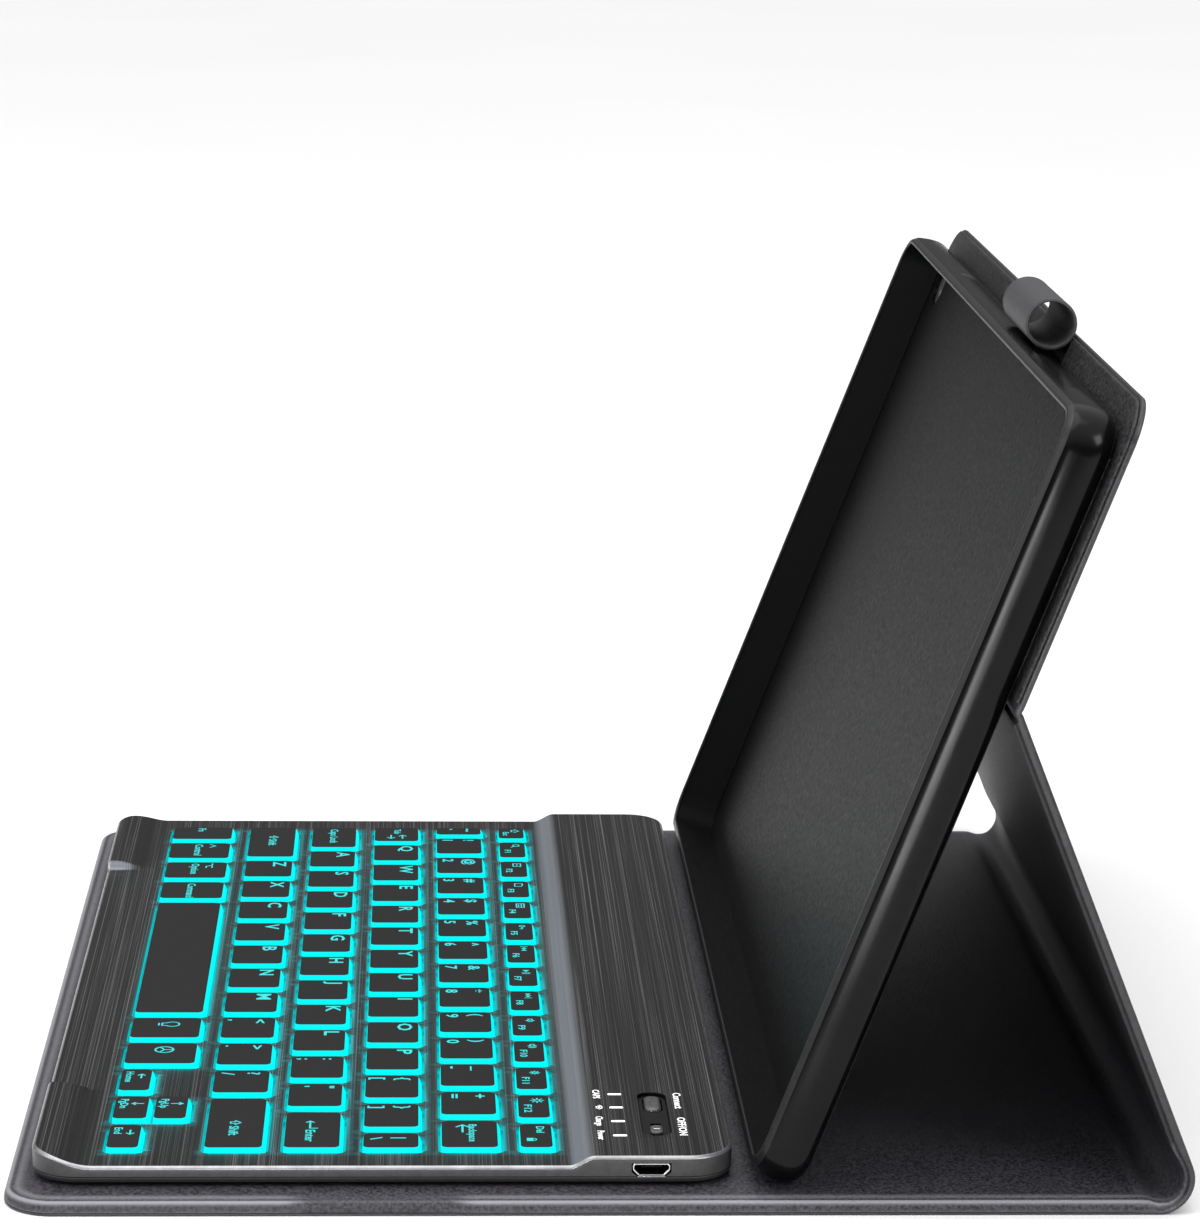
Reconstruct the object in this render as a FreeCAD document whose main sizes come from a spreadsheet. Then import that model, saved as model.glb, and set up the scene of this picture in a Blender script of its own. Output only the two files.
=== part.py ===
import FreeCAD, Part
import os
from math import sin, cos, asin, atan2, sqrt, radians, degrees

# Tablet keyboard case, standing open.
# Millimetres. X runs to the typist's right, Y from the front edge of the
# cover towards its spine, Z up. The origin is the middle of the rectangle the
# case covers, on the surface it stands on.
os.makedirs("parts", exist_ok=True)
doc = FreeCAD.newDocument("keyboard_case")
sheet = doc.addObject("Spreadsheet::Sheet", "Sizes")

# ---------------------------------------------------------------- dimensions
LEAN = 20.68          # how far the tray leans back from upright
C_Y, C_Z, R_OUT = 108.9, 7.0, 7.0     # centre and outer radius of the spine
FOOT_Y, FOOT_Z = 30.05, 8.35          # lower edge of the tray's front opening
BACK_N = 12.9         # tray front to the outside of the back panel
FOLD_U = 103.3        # crease height, measured up the tray
fold_y = FOOT_Y + FOLD_U * sin(radians(LEAN)) + BACK_N * cos(radians(LEAN))
fold_z = FOOT_Z + FOLD_U * cos(radians(LEAN)) - BACK_N * sin(radians(LEAN))
dist = sqrt((fold_y - C_Y) ** 2 + (fold_z - C_Z) ** 2)
stand_tilt = degrees(atan2(C_Y - fold_y, fold_z - C_Z) + asin(R_OUT / dist))
stand_len = sqrt(dist ** 2 - R_OUT ** 2)

values = {
    # front cover
    "cover_width": 272.2, "cover_front": -115.9, "cover_rear": 108.5,
    "cover_corner": 10.0, "skin_thick": 0.6, "board_top": 2.3,
    "lining_top": 3.0, "rim_width": 2.4,
    "magnet_radius": 5.0, "magnet_thick": 1.0,
    # spine and stand
    "spine_y": C_Y, "spine_z": C_Z, "spine_radius": R_OUT, "spine_inner": 4.8,
    "stand_tilt": stand_tilt, "stand_length": stand_len,
    "stand_inner": 4.4, "stand_board_in": 5.0, "stand_board_out": 6.2,
    "stand_start": 0.4, "stand_end_gap": 1.2,
    # back panel, in the leaning frame of the tray
    "foot_y": FOOT_Y, "foot_z": FOOT_Z, "lean": -LEAN,
    "panel_width": 272.2, "panel_low": FOLD_U + 0.9, "panel_high": 166.6,
    "panel_in": 11.0, "panel_lining": 11.5, "panel_board": 12.3,
    "panel_out": BACK_N, "panel_corner": 9.0,
    # tray
    "tray_width": 266.8, "tray_low": -2.9, "tray_high": 161.6,
    "tray_depth": 10.8, "tray_corner": 9.0, "tray_back_round": 5.0,
    "tray_front_run": 5.6, "tray_front_drop": 1.9,
    "bay_width": 262.4, "bay_low": 0.0, "bay_high": 159.2,
    "bay_front": 0.6, "bay_back": 10.2, "bay_corner": 6.5,
    "window_width": 261.6, "window_low": 0.4, "window_high": 158.8,
    "camera_x": -120.5, "camera_u": 152.0, "camera_radius": 5.2,
    "loop_radius": 4.6, "loop_wall": 0.8, "loop_width": 34.0, "loop_x": 36.0,
    # keyboard
    "kb_width": 256.0, "kb_front": -111.0, "kb_rear": 26.5, "kb_corner": 9.0,
    "kb_floor": 3.6, "kb_split": 5.0, "deck_low": 7.2, "deck_high": 9.2,
    "deck_thick": 0.9, "kb_wall": 1.5, "slope_start": -5.7, "slope_end": -1.1,
    "bump_width": 46.0, "bump_depth": 12.0, "bump_crest": 2.5,
    "key_base": 6.2, "key_top": 8.15, "key_gap": 0.8, "key_taper": 0.5,
    "key_web": 1.8,
    # feet, screws
    "foot_radius": 4.0, "screw_radius": 1.2, "screw_head": 2.1,
    # controls on the raised deck
    "recess_x": 102.6, "recess_y": 12.1, "recess_long": 26.0,
    "recess_short": 5.6, "recess_floor": 8.5,
    "button_x": 95.4, "button_long": 8.4, "button_short": 3.4, "button_top": 9.1,
    "slider_x": 111.2, "slider_long": 4.4, "slider_short": 2.6,
    "slider_top": 9.1, "slider_travel": 2.0,
    "lamp_long": 2.8, "lamp_short": 0.9, "lamp_y": 4.6,
    "port_y": 10.2, "port_z": 6.5, "port_wide": 7.5, "port_tall": 2.7,
}
# rows of keys: front edge, rear edge of each row's openings
rows = {
    "bottom": (-97.6, -80.5), "lower": (-78.4, -64.6), "home": (-62.8, -49.4),
    "qwerty": (-47.2, -33.8), "number": (-31.7, -18.1), "function": (-16.1, -7.3),
}
for name, (a, b) in rows.items():
    values["row_%s_front" % name] = a
    values["row_%s_rear" % name] = b
values["row_half_lower_rear"] = -88.9
values["row_half_upper_front"] = -88.7
# where each row's cells start, the odd first and last keys and the pitch
KEY_LEFT = -118.8
values["keys_left"] = KEY_LEFT
cells = {
    "function": (11.1, 17.5, 13, 0.0), "number": (7.6, 17.63, 12, 19.4),
    "qwerty": (13.9, 17.72, 12, 12.1), "home": (19.6, 17.68, 11, 24.5),
    "lower": (28.4, 17.72, 10, 33.0), "bottom": (12.4, 17.47, 3, 0.0),
}
for name, (first, pitch, n, last) in cells.items():
    values["first_%s" % name] = first
    values["pitch_%s" % name] = pitch
    values["last_%s" % name] = last
values["space_width"] = 87.9
values["pitch_right"] = 17.18

for i, (name, v) in enumerate(values.items()):
    sheet.set("A%d" % (i + 1), name)
    sheet.set("B%d" % (i + 1), "%.6f" % v)
    sheet.setAlias("B%d" % (i + 1), name)
doc.recompute()


class Q:
    """A number together with the expression it comes from."""

    def __init__(self, v, e):
        self.v, self.e = v, e

    def __add__(self, o):
        o = q(o)
        return Q(self.v + o.v, "(%s + %s)" % (self.e, o.e))

    def __sub__(self, o):
        o = q(o)
        return Q(self.v - o.v, "(%s - %s)" % (self.e, o.e))

    def __mul__(self, o):
        o = q(o)
        return Q(self.v * o.v, "(%s * %s)" % (self.e, o.e))

    def __truediv__(self, o):
        o = q(o)
        return Q(self.v / o.v, "(%s / %s)" % (self.e, o.e))

    def __neg__(self):
        return Q(-self.v, "(0 - %s)" % self.e)

    def __radd__(self, o):
        return q(o) + self

    def __rsub__(self, o):
        return q(o) - self

    def __rmul__(self, o):
        return q(o) * self


def q(x):
    return x if isinstance(x, Q) else Q(float(x), "(%.6f)" % float(x))


def S(name):
    return Q(values[name], "Sizes.%s" % name)


def bind(obj, prop, val):
    val = q(val)
    if "." not in prop:
        setattr(obj, prop, val.v)
    obj.setExpression(prop, val.e)


def place(obj, x=0, y=0, z=0, turn=None, about=(1, 0, 0)):
    """Puts an object down, its place and turn bound to the sheet."""
    x, y, z = q(x), q(y), q(z)
    rot = FreeCAD.Rotation()
    if turn is not None:
        rot = FreeCAD.Rotation(FreeCAD.Vector(*about), q(turn).v)
    obj.Placement = FreeCAD.Placement(FreeCAD.Vector(x.v, y.v, z.v), rot)
    obj.setExpression("Placement.Base.x", x.e)
    obj.setExpression("Placement.Base.y", y.e)
    obj.setExpression("Placement.Base.z", z.e)
    if isinstance(turn, Q):
        obj.setExpression("Placement.Rotation.Angle", turn.e)
    return obj


def lean(obj):
    """Stands an object in the frame of the tray: Y is its depth, Z runs up it."""
    return place(obj, 0, S("foot_y"), S("foot_z"), S("lean"))


def tilt(obj):
    """Stands an object in the frame of the stand: Z runs up from the spine."""
    return place(obj, 0, S("spine_y"), S("spine_z"), S("stand_tilt"))


def origin_plane(body, role):
    for f in body.Origin.OriginFeatures:
        if f.Role == role:
            return f
    raise RuntimeError(role)


def sketch_poly(body, name, role, pts, offset=None):
    """A closed outline whose corners are all bound to the sheet."""
    sk = body.newObject("Sketcher::SketchObject", name)
    sk.AttachmentSupport = [(origin_plane(body, role), "")]
    sk.MapMode = "FlatFace"
    if offset is not None:
        off = q(offset)
        sk.AttachmentOffset = FreeCAD.Placement(
            FreeCAD.Vector(0, 0, off.v), FreeCAD.Rotation())
        sk.setExpression("AttachmentOffset.Base.z", off.e)
    n = len(pts)
    pts = [(q(a), q(b)) for a, b in pts]
    import Sketcher
    for i in range(n):
        a, b = pts[i], pts[(i + 1) % n]
        sk.addGeometry(Part.LineSegment(
            FreeCAD.Vector(a[0].v, a[1].v, 0), FreeCAD.Vector(b[0].v, b[1].v, 0)), False)
    for i in range(n):
        sk.addConstraint(Sketcher.Constraint("Coincident", i, 2, (i + 1) % n, 1))
    for i in range(n):
        c = sk.addConstraint(Sketcher.Constraint("DistanceX", -1, 1, i, 1, pts[i][0].v))
        sk.setExpression("Constraints[%d]" % c, pts[i][0].e)
        c = sk.addConstraint(Sketcher.Constraint("DistanceY", -1, 1, i, 1, pts[i][1].v))
        sk.setExpression("Constraints[%d]" % c, pts[i][1].e)
    sk.Visibility = False
    return sk


def sketch_circle(body, name, role, cx, cy, r, offset=None):
    import Sketcher
    sk = body.newObject("Sketcher::SketchObject", name)
    sk.AttachmentSupport = [(origin_plane(body, role), "")]
    sk.MapMode = "FlatFace"
    if offset is not None:
        off = q(offset)
        sk.AttachmentOffset = FreeCAD.Placement(
            FreeCAD.Vector(0, 0, off.v), FreeCAD.Rotation())
        sk.setExpression("AttachmentOffset.Base.z", off.e)
    cx, cy, r = q(cx), q(cy), q(r)
    sk.addGeometry(Part.Circle(FreeCAD.Vector(cx.v, cy.v, 0), FreeCAD.Vector(0, 0, 1), r.v), False)
    for kind, val in (("DistanceX", cx), ("DistanceY", cy)):
        c = sk.addConstraint(Sketcher.Constraint(kind, -1, 1, 0, 3, val.v))
        sk.setExpression("Constraints[%d]" % c, val.e)
    c = sk.addConstraint(Sketcher.Constraint("Radius", 0, r.v))
    sk.setExpression("Constraints[%d]" % c, r.e)
    sk.Visibility = False
    return sk


def pad(body, name, sk, length, mid=False, rev=False):
    f = body.newObject("PartDesign::Pad", name)
    f.Profile = sk
    if mid:
        f.Midplane = True
    f.Reversed = rev
    bind(f, "Length", length)
    body.Tip = f
    return f


def round_edges(body, name, feature, picks, radius):
    """Rounds the edges of a feature that the test picks out."""
    doc.recompute()
    names = ["Edge%d" % (i + 1) for i, e in enumerate(feature.Shape.Edges) if picks(e)]
    if not names:
        raise RuntimeError("no edge for " + name)
    f = body.newObject("PartDesign::Fillet", name)
    f.Base = (feature, names)
    bind(f, "Radius", radius)
    body.Tip = f
    return f


def along(axis):
    """Test for a straight edge that runs along one local axis."""
    def test(e):
        if e.Curve.TypeId != "Part::GeomLine":
            return False
        d = e.Curve.Direction
        return abs(abs(getattr(d, axis)) - 1) < 1e-6
    return test


def slab(label, x0, x1, y0, y1, z0, z1, corner=None, which=None):
    """A plate lying flat, with its upright corners rounded."""
    body = doc.addObject("PartDesign::Body", label)
    x0, x1, y0, y1, z0, z1 = map(q, (x0, x1, y0, y1, z0, z1))
    sk = sketch_poly(body, label + "_outline", "XY_Plane",
                     [(x0, y0), (x1, y0), (x1, y1), (x0, y1)], z0)
    f = pad(body, label + "_pad", sk, z1 - z0)
    if corner is not None:
        test = along("z")
        pick = (lambda e: test(e) and which(e.CenterOfMass)) if which else test
        round_edges(body, label + "_corners", f, pick, corner)
    return body


def upright(label, x0, x1, n0, n1, u0, u1, corner=None, which=None):
    """A plate standing in a leaning frame: n is its thickness, u runs up."""
    body = doc.addObject("PartDesign::Body", label)
    x0, x1, n0, n1, u0, u1 = map(q, (x0, x1, n0, n1, u0, u1))
    # the XZ plane faces -Y, so depth is laid off with a reversed pad
    sk = sketch_poly(body, label + "_outline", "XZ_Plane",
                     [(x0, u0), (x1, u0), (x1, u1), (x0, u1)], -n0)
    f = pad(body, label + "_pad", sk, n1 - n0, rev=True)
    if corner is not None:
        test = along("y")
        pick = (lambda e: test(e) and which(e.CenterOfMass)) if which else test
        round_edges(body, label + "_corners", f, pick, corner)
    return body


def cut(label, base, tools):
    f = doc.addObject("Part::Cut", label)
    f.Base = base
    if isinstance(tools, list):
        if len(tools) == 1:
            tools = tools[0]
        else:
            c = doc.addObject("Part::Compound", label + "_tools")
            c.Links = tools
            tools = c
    f.Tool = tools
    return f


def common(label, a, b):
    f = doc.addObject("Part::Common", label)
    f.Base, f.Tool = a, b
    return f


def fuse(label, items):
    f = doc.addObject("Part::MultiFuse", label)
    f.Shapes = items
    f.Refine = True
    return f


def group(label, items):
    f = doc.addObject("Part::Compound", label)
    f.Links = items
    return f


def block(label, x0, x1, y0, y1, z0, z1):
    x0, x1, y0, y1, z0, z1 = map(q, (x0, x1, y0, y1, z0, z1))
    b = doc.addObject("Part::Box", label)
    bind(b, "Length", x1 - x0)
    bind(b, "Width", y1 - y0)
    bind(b, "Height", z1 - z0)
    return place(b, x0, y0, z0)


def drum(label, x, y, z0, z1, r):
    x, y, z0, z1, r = map(q, (x, y, z0, z1, r))
    c = doc.addObject("Part::Cylinder", label)
    bind(c, "Radius", r)
    bind(c, "Height", z1 - z0)
    return place(c, x, y, z0)


def taper_block(label, x0, x1, y0, y1, z0, z1, t):
    """A keycap: wide at its foot, narrower by t a side at its top."""
    x0, x1, y0, y1, z0, z1, t = map(q, (x0, x1, y0, y1, z0, z1, t))
    w = doc.addObject("Part::Wedge", label)
    bind(w, "Xmin", 0)
    bind(w, "Xmax", x1 - x0)
    bind(w, "Ymin", 0)
    bind(w, "Ymax", z1 - z0)
    bind(w, "Zmin", 0)
    bind(w, "Zmax", y1 - y0)
    bind(w, "X2min", t)
    bind(w, "X2max", x1 - x0 - t)
    bind(w, "Z2min", t)
    bind(w, "Z2max", y1 - y0 - t)
    # its own Y stands up and its own Z runs forward after the quarter turn
    return place(w, x0, y1, z0, 90.0)


nodes = []
half = S("cover_width") / 2
rear_only = lambda c: c.y > 0
front_only = lambda c: c.y < 0

# ---------------------------------------------------------------- front cover
rim = S("rim_width")
nodes.append(slab("front_cover_skin", -half, half, S("cover_front"), S("cover_rear"),
                  0, S("skin_thick"), S("cover_corner"), front_only))

board_blank = slab("cover_board_blank", -half + rim + 0.1, half - rim - 0.1,
                   S("cover_front") + rim + 0.1, S("cover_rear") - rim - 0.1,
                   S("skin_thick"), S("board_top"), S("cover_corner") - rim - 0.1, front_only)
mag_at = [(-104, -92), (104, -92), (-104, 8), (104, 8)]
bar_at = [-70, 70]
pockets, magnets = [], []
m_top = S("board_top")
m_low = m_top - S("magnet_thick")
for i, (x, y) in enumerate(mag_at):
    pockets.append(drum("magnet_pocket_%d" % i, x, y, m_low, m_top + 1, S("magnet_radius") + 0.1))
    magnets.append(drum("magnet_disc_%d" % i, x, y, m_low, m_top, S("magnet_radius")))
bars = []
for i, x in enumerate(bar_at):
    pockets.append(block("bar_pocket_%d" % i, x - 20.1, x + 20.1, S("foot_y") - 1.1,
                         S("foot_y") + 9.1, m_low, m_top + 1))
    bars.append(block("bar_magnet_%d" % i, x - 20, x + 20, S("foot_y") - 1,
                      S("foot_y") + 9, m_low, m_top))
nodes.append(cut("front_cover_board", board_blank, pockets))
nodes.append(group("keyboard_magnets", magnets))
nodes.append(group("foot_magnets", bars))
# the lining is turned down over the board's edge and meets the outer skin
lining_block = slab("cover_lining_block", -half, half, S("cover_front"), S("cover_rear"),
                    S("skin_thick"), S("lining_top"), S("cover_corner"), front_only)
lining_hollow = slab("cover_lining_hollow", -half + rim, half - rim, S("cover_front") + rim,
                     S("cover_rear") - rim, S("skin_thick") - 0.2, S("board_top"),
                     S("cover_corner") - rim, front_only)
nodes.append(cut("front_cover_lining", lining_block, lining_hollow))

# ---------------------------------------------------------------- spine strip
# a bent strip of leather on the arc between the cover and the stand
spine = doc.addObject("Part::Cylinder", "spine_round")
bind(spine, "Radius", S("spine_radius"))
bind(spine, "Height", S("cover_width"))
bind(spine, "Angle", S("stand_tilt") + 88.0)
bore = doc.addObject("Part::Cylinder", "spine_bore")
bind(bore, "Radius", S("spine_inner"))
bind(bore, "Height", S("cover_width"))
strip = cut("spine_strip", spine, bore)
# the cylinder's axis is laid along X; its wedge starts just past straight down
start = FreeCAD.Rotation(FreeCAD.Vector(0, 0, 1), 0)
strip.Placement = FreeCAD.Placement(
    FreeCAD.Vector(-values["cover_width"] / 2, values["spine_y"], values["spine_z"]),
    FreeCAD.Rotation(FreeCAD.Vector(1, 0, 0), -89.0)
    * FreeCAD.Rotation(FreeCAD.Vector(0, 1, 0), 90)
    * FreeCAD.Rotation(FreeCAD.Vector(0, 0, 1), 90))
strip.setExpression("Placement.Base.x", (-half).e)
strip.setExpression("Placement.Base.y", S("spine_y").e)
strip.setExpression("Placement.Base.z", S("spine_z").e)
nodes.append(strip)

# ---------------------------------------------------------------- stand
s0, s1 = S("stand_start"), S("stand_length") - S("stand_end_gap")
st_block = upright("stand_skin_block", -half, half, S("stand_board_in"), S("spine_radius"), s0, s1)
st_hollow = upright("stand_skin_hollow", -half + rim, half - rim, S("stand_board_in") - 1,
                    S("stand_board_out"), s0 + rim, s1 - rim)
nodes.append(tilt(cut("stand_skin", st_block, st_hollow)))
nodes.append(tilt(upright("stand_board", -half + rim + 0.1, half - rim - 0.1,
                          S("stand_board_in"), S("stand_board_out"),
                          s0 + rim + 0.1, s1 - rim - 0.1)))
nodes.append(tilt(upright("stand_lining", -half, half, S("stand_inner"),
                          S("stand_board_in"), s0, s1)))

# ---------------------------------------------------------------- back panel
ph = S("panel_width") / 2
high_only = lambda c: c.z > 130
cam_tool = doc.addObject("Part::Cylinder", "camera_tool")
bind(cam_tool, "Radius", S("camera_radius"))
bind(cam_tool, "Height", 12)
place(cam_tool, S("camera_x"), 16.0, S("camera_u"), 90.0)
cam_ring = doc.addObject("Part::Cylinder", "camera_edge_tool")
bind(cam_ring, "Radius", S("camera_radius") + 1.2)
bind(cam_ring, "Height", 3)
place(cam_ring, S("camera_x"), 0, S("camera_u"), 90.0)
cam_ring.setExpression("Placement.Base.y", S("panel_board").e)

pl, phh = S("panel_low"), S("panel_high")
bp_block = upright("back_skin_block", -ph, ph, S("panel_lining"), S("panel_out"),
                   pl, phh, S("panel_corner"), high_only)
bp_hollow = upright("back_skin_hollow", -ph + rim, ph - rim, S("panel_lining") - 1,
                    S("panel_board"), pl + rim, phh - rim, S("panel_corner") - rim, high_only)
# the skin is turned in round the camera hole, so a collar stays there
collar = doc.addObject("Part::Cylinder", "camera_collar")
bind(collar, "Radius", S("camera_radius") + 1.2)
bind(collar, "Height", 8)
place(collar, S("camera_x"), 15.0, S("camera_u"), 90.0)
bp_room = cut("back_skin_room", bp_hollow, collar)
nodes.append(lean(cut("back_panel_skin", bp_block, [bp_room, cam_tool])))
bp_board = upright("back_board_blank", -ph + rim + 0.1, ph - rim - 0.1, S("panel_lining"),
                   S("panel_board"), pl + rim + 0.1, phh - rim - 0.1,
                   S("panel_corner") - rim - 0.1, high_only)
board_hole = doc.addObject("Part::Cylinder", "camera_board_tool")
bind(board_hole, "Radius", S("camera_radius") + 1.3)
bind(board_hole, "Height", 12)
place(board_hole, S("camera_x"), 16.0, S("camera_u"), 90.0)
nodes.append(lean(cut("back_panel_board", bp_board, board_hole)))
bp_lin = upright("back_lining_blank", -ph, ph, S("panel_in"), S("panel_lining"),
                 pl, phh, S("panel_corner"), high_only)
nodes.append(lean(cut("back_panel_lining", bp_lin, cam_tool)))

# the crease between stand and back panel: a narrow strip of skin that turns
# about the hinge line on its outer face, with a short leg on either side
leg_low = tilt(upright("fold_leg_low", -half, half, S("spine_radius") - 0.9, S("spine_radius"),
                       S("stand_length") - 1.0, S("stand_length")))
leg_high = lean(upright("fold_leg_high", -half, half, S("panel_out") - 0.9, S("panel_out"),
                        S("panel_low") - 0.9, S("panel_low") - 0.2))
turn = doc.addObject("Part::Cylinder", "fold_turn")
bind(turn, "Radius", 0.9)
bind(turn, "Height", S("cover_width"))
bind(turn, "Angle", S("stand_tilt") - S("lean"))
turn.Placement = FreeCAD.Placement(
    FreeCAD.Vector(-values["cover_width"] / 2, fold_y, fold_z),
    FreeCAD.Rotation(FreeCAD.Vector(1, 0, 0), -LEAN)
    * FreeCAD.Rotation(FreeCAD.Vector(0, -1, 0), FreeCAD.Vector(0, 0, -1),
                       FreeCAD.Vector(1, 0, 0), "ZXY"))
turn.setExpression("Placement.Base.x", (-half).e)
nodes.append(fuse("fold_strip", [leg_low, turn, leg_high]))

# ---------------------------------------------------------------- tray
tw = S("tray_width") / 2
shell = doc.addObject("PartDesign::Body", "tray_outer")
sk = sketch_poly(shell, "tray_outline", "XZ_Plane",
                 [(-tw, S("tray_low")), (tw, S("tray_low")),
                  (tw, S("tray_high")), (-tw, S("tray_high"))])
f = pad(shell, "tray_pad", sk, S("tray_depth"), rev=True)
f = round_edges(shell, "tray_corners", f, along("y"), S("tray_corner"))
doc.recompute()
back_edges = ["Edge%d" % (i + 1) for i, e in enumerate(f.Shape.Edges)
              if e.BoundBox.YMin > values["tray_depth"] - 1e-4]
g = shell.newObject("PartDesign::Fillet", "tray_back_round")
g.Base = (f, back_edges)
bind(g, "Radius", S("tray_back_round"))
shell.Tip = g
doc.recompute()
front_face = ["Face%d" % (i + 1) for i, fc in enumerate(g.Shape.Faces)
              if fc.BoundBox.YMax < 1e-4]
h = shell.newObject("PartDesign::Chamfer", "tray_front_bevel")
front_edges = ["Edge%d" % (i + 1) for i, e in enumerate(g.Shape.Edges)
               if e.BoundBox.YMax < 1e-4]
h.Base = (g, front_edges)
h.ChamferType = "Two distances"
bind(h, "Size", S("tray_front_drop"))
bind(h, "Size2", S("tray_front_run"))
shell.Tip = h
doc.recompute()
# the longer leg of the bevel has to run back along the side
probe = h.Shape.isInside(FreeCAD.Vector(0, 4.0, values["tray_low"] + 0.5), 1e-4, True)
if probe:
    h.FlipDirection = True
    doc.recompute()
bw = S("bay_width") / 2
bay = upright("tray_bay", -bw, bw, S("bay_front"), S("bay_back"), S("bay_low"),
              S("bay_high"), S("bay_corner"))
ww = S("window_width") / 2
window = upright("tray_window", -ww, ww, -1, S("bay_front") + 0.5, S("window_low"),
                 S("window_high"), S("bay_corner"))
# shallow long hollows in the top wall over the tablet's buttons
top_relief = upright("tray_top_relief", 40, 104, 3.2, 8.4, S("tray_high") - 0.5,
                     S("tray_high") + 1)
far_relief = upright("tray_far_relief", -62, 22, 3.2, 8.4, S("tray_high") - 0.5,
                     S("tray_high") + 1)
nodes.append(lean(cut("tray_shell", shell, [bay, window, cam_tool, top_relief, far_relief])))
nodes.append(lean(upright("tray_adhesive_pad", -112, 128, S("tray_depth") + 0.02,
                          S("panel_in") - 0.02, S("panel_low") + 4, S("tray_high") - 8)))

# ---------------------------------------------------------------- stylus loop
lr, lwall = S("loop_radius"), S("loop_wall")
lc_n = S("panel_in") - lr - lwall - 0.12
lc_u = S("tray_high") + lr + lwall + 0.12
lx0, lx1 = S("loop_x") - S("loop_width") / 2, S("loop_x") + S("loop_width") / 2
ring = doc.addObject("Part::Cylinder", "loop_outer")
bind(ring, "Radius", lr + lwall)
bind(ring, "Height", S("loop_width"))
place(ring, lx0, lc_n, lc_u, 90.0, (0, 1, 0))
hole = doc.addObject("Part::Cylinder", "loop_inner")
bind(hole, "Radius", lr)
bind(hole, "Height", S("loop_width") + 2)
place(hole, lx0 - 1, lc_n, lc_u, 90.0, (0, 1, 0))
tail = block("loop_tail", lx0, lx1, S("tray_depth") + 0.02, S("panel_in") - 0.02,
             S("tray_high") - 7.5, lc_u)
web = block("loop_web", lx0, lx1, lc_n + lr + 0.25, S("panel_in") - 0.02, S("tray_high") + 0.2, lc_u)
body_fuse = fuse("loop_blank", [ring, web, tail])
nodes.append(lean(cut("stylus_loop", body_fuse, hole)))

# ---------------------------------------------------------------- keyboard
kw = S("kb_width") / 2
wall = S("kb_wall")
prism = slab("deck_outline", -kw, kw, S("kb_front"), S("kb_rear"), S("kb_split"),
             S("deck_high") + 1, S("kb_corner"))
profile = doc.addObject("PartDesign::Body", "deck_profile")
sk = sketch_poly(profile, "deck_section", "YZ_Plane",
                 [(S("kb_front") - 1, S("kb_split")), (S("kb_front") - 1, S("deck_low")),
                  (S("slope_start"), S("deck_low")), (S("slope_end"), S("deck_high")),
                  (S("kb_rear") + 1, S("deck_high")), (S("kb_rear") + 1, S("kb_split"))])
pad(profile, "deck_pad", sk, S("kb_width") + 2, mid=True)
# raised pads at the two front corners, with a ramp down to the deck
for tag, sign in (("right", 1), ("left", -1)):
    start_x = (kw - S("bump_width")) if sign > 0 else -(kw + 1)
    sk = sketch_poly(profile, "bump_section_" + tag, "YZ_Plane",
                     [(S("kb_front") - 1, S("deck_low") - 0.5),
                      (S("kb_front") - 1, S("deck_high")),
                      (S("kb_front") + S("bump_crest"), S("deck_high")),
                      (S("kb_front") + S("bump_depth"), S("deck_low")),
                      (S("kb_front") + S("bump_depth"), S("deck_low") - 0.5)], start_x)
    pad(profile, "bump_" + tag, sk, S("bump_width") + 1)
solid_top = common("deck_solid", prism, profile)
inner_prism = slab("deck_inner_outline", -kw + wall, kw - wall, S("kb_front") + wall,
                   S("kb_rear") - wall, S("kb_split") - 1, S("deck_high"), S("kb_corner") - wall)
inner_profile = doc.addObject("PartDesign::Body", "deck_inner_profile")
dt = S("deck_thick")
sk = sketch_poly(inner_profile, "deck_inner_section", "YZ_Plane",
                 [(S("kb_front") - 1, S("kb_split") - 1), (S("kb_front") - 1, S("deck_low") - dt),
                  (S("slope_start") + 0.5, S("deck_low") - dt),
                  (S("slope_end") + 0.5, S("deck_high") - dt),
                  (S("kb_rear") + 1, S("deck_high") - dt), (S("kb_rear") + 1, S("kb_split") - 1)])
pad(inner_profile, "deck_inner_pad", sk, S("kb_width") + 2, mid=True)
cavity = common("deck_cavity", inner_prism, inner_profile)

# cells of the key field: (label, row, left edge, right edge, front, rear)
plan = []


def row_cells(row):
    first, pitch, last = S("first_" + row), S("pitch_" + row), S("last_" + row)
    n = cells[row][2]
    edges = [S("keys_left"), S("keys_left") + first]
    for k in range(n):
        edges.append(S("keys_left") + first + pitch * (k + 1))
    if last.v > 0:
        edges.append(S("keys_left") + first + pitch * n + last)
    return edges


def add_cells(row, names, front=None, rear=None, edges=None):
    edges = edges or row_cells(row)
    front = front or S("row_%s_front" % row)
    rear = rear or S("row_%s_rear" % row)
    for i, name in enumerate(names):
        if name:
            plan.append((name, edges[i], edges[i + 1], front, rear))


add_cells("function", ["key_escape"] + ["keys_function_row"] * 12 + ["key_delete"])
add_cells("number", ["keys_number_row"] * 13 + ["key_backspace"])
add_cells("qwerty", ["key_tab"] + ["keys_qwerty_row"] * 12 + ["key_backslash"])
add_cells("home", ["key_caps_lock"] + ["keys_home_row"] * 11 + ["key_enter"])
add_cells("lower", ["key_shift_left"] + ["keys_lower_row"] * 10 + ["key_shift_right"])
e = row_cells("bottom")
sp = e[-1] + S("space_width")
right = [sp + S("pitch_right") * k for k in range(6)]
bottom_edges = e + right[0:1]
add_cells("bottom", ["key_fn", "key_control", "key_option", "key_command", "key_space"],
          edges=bottom_edges)
add_cells("bottom", ["key_light", "key_colour"], edges=right[0:3])
hf, hu = S("row_half_lower_rear"), S("row_half_upper_front")
add_cells("bottom", ["key_home", "key_page_down", "key_end"], rear=hf, edges=right[2:6])
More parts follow.
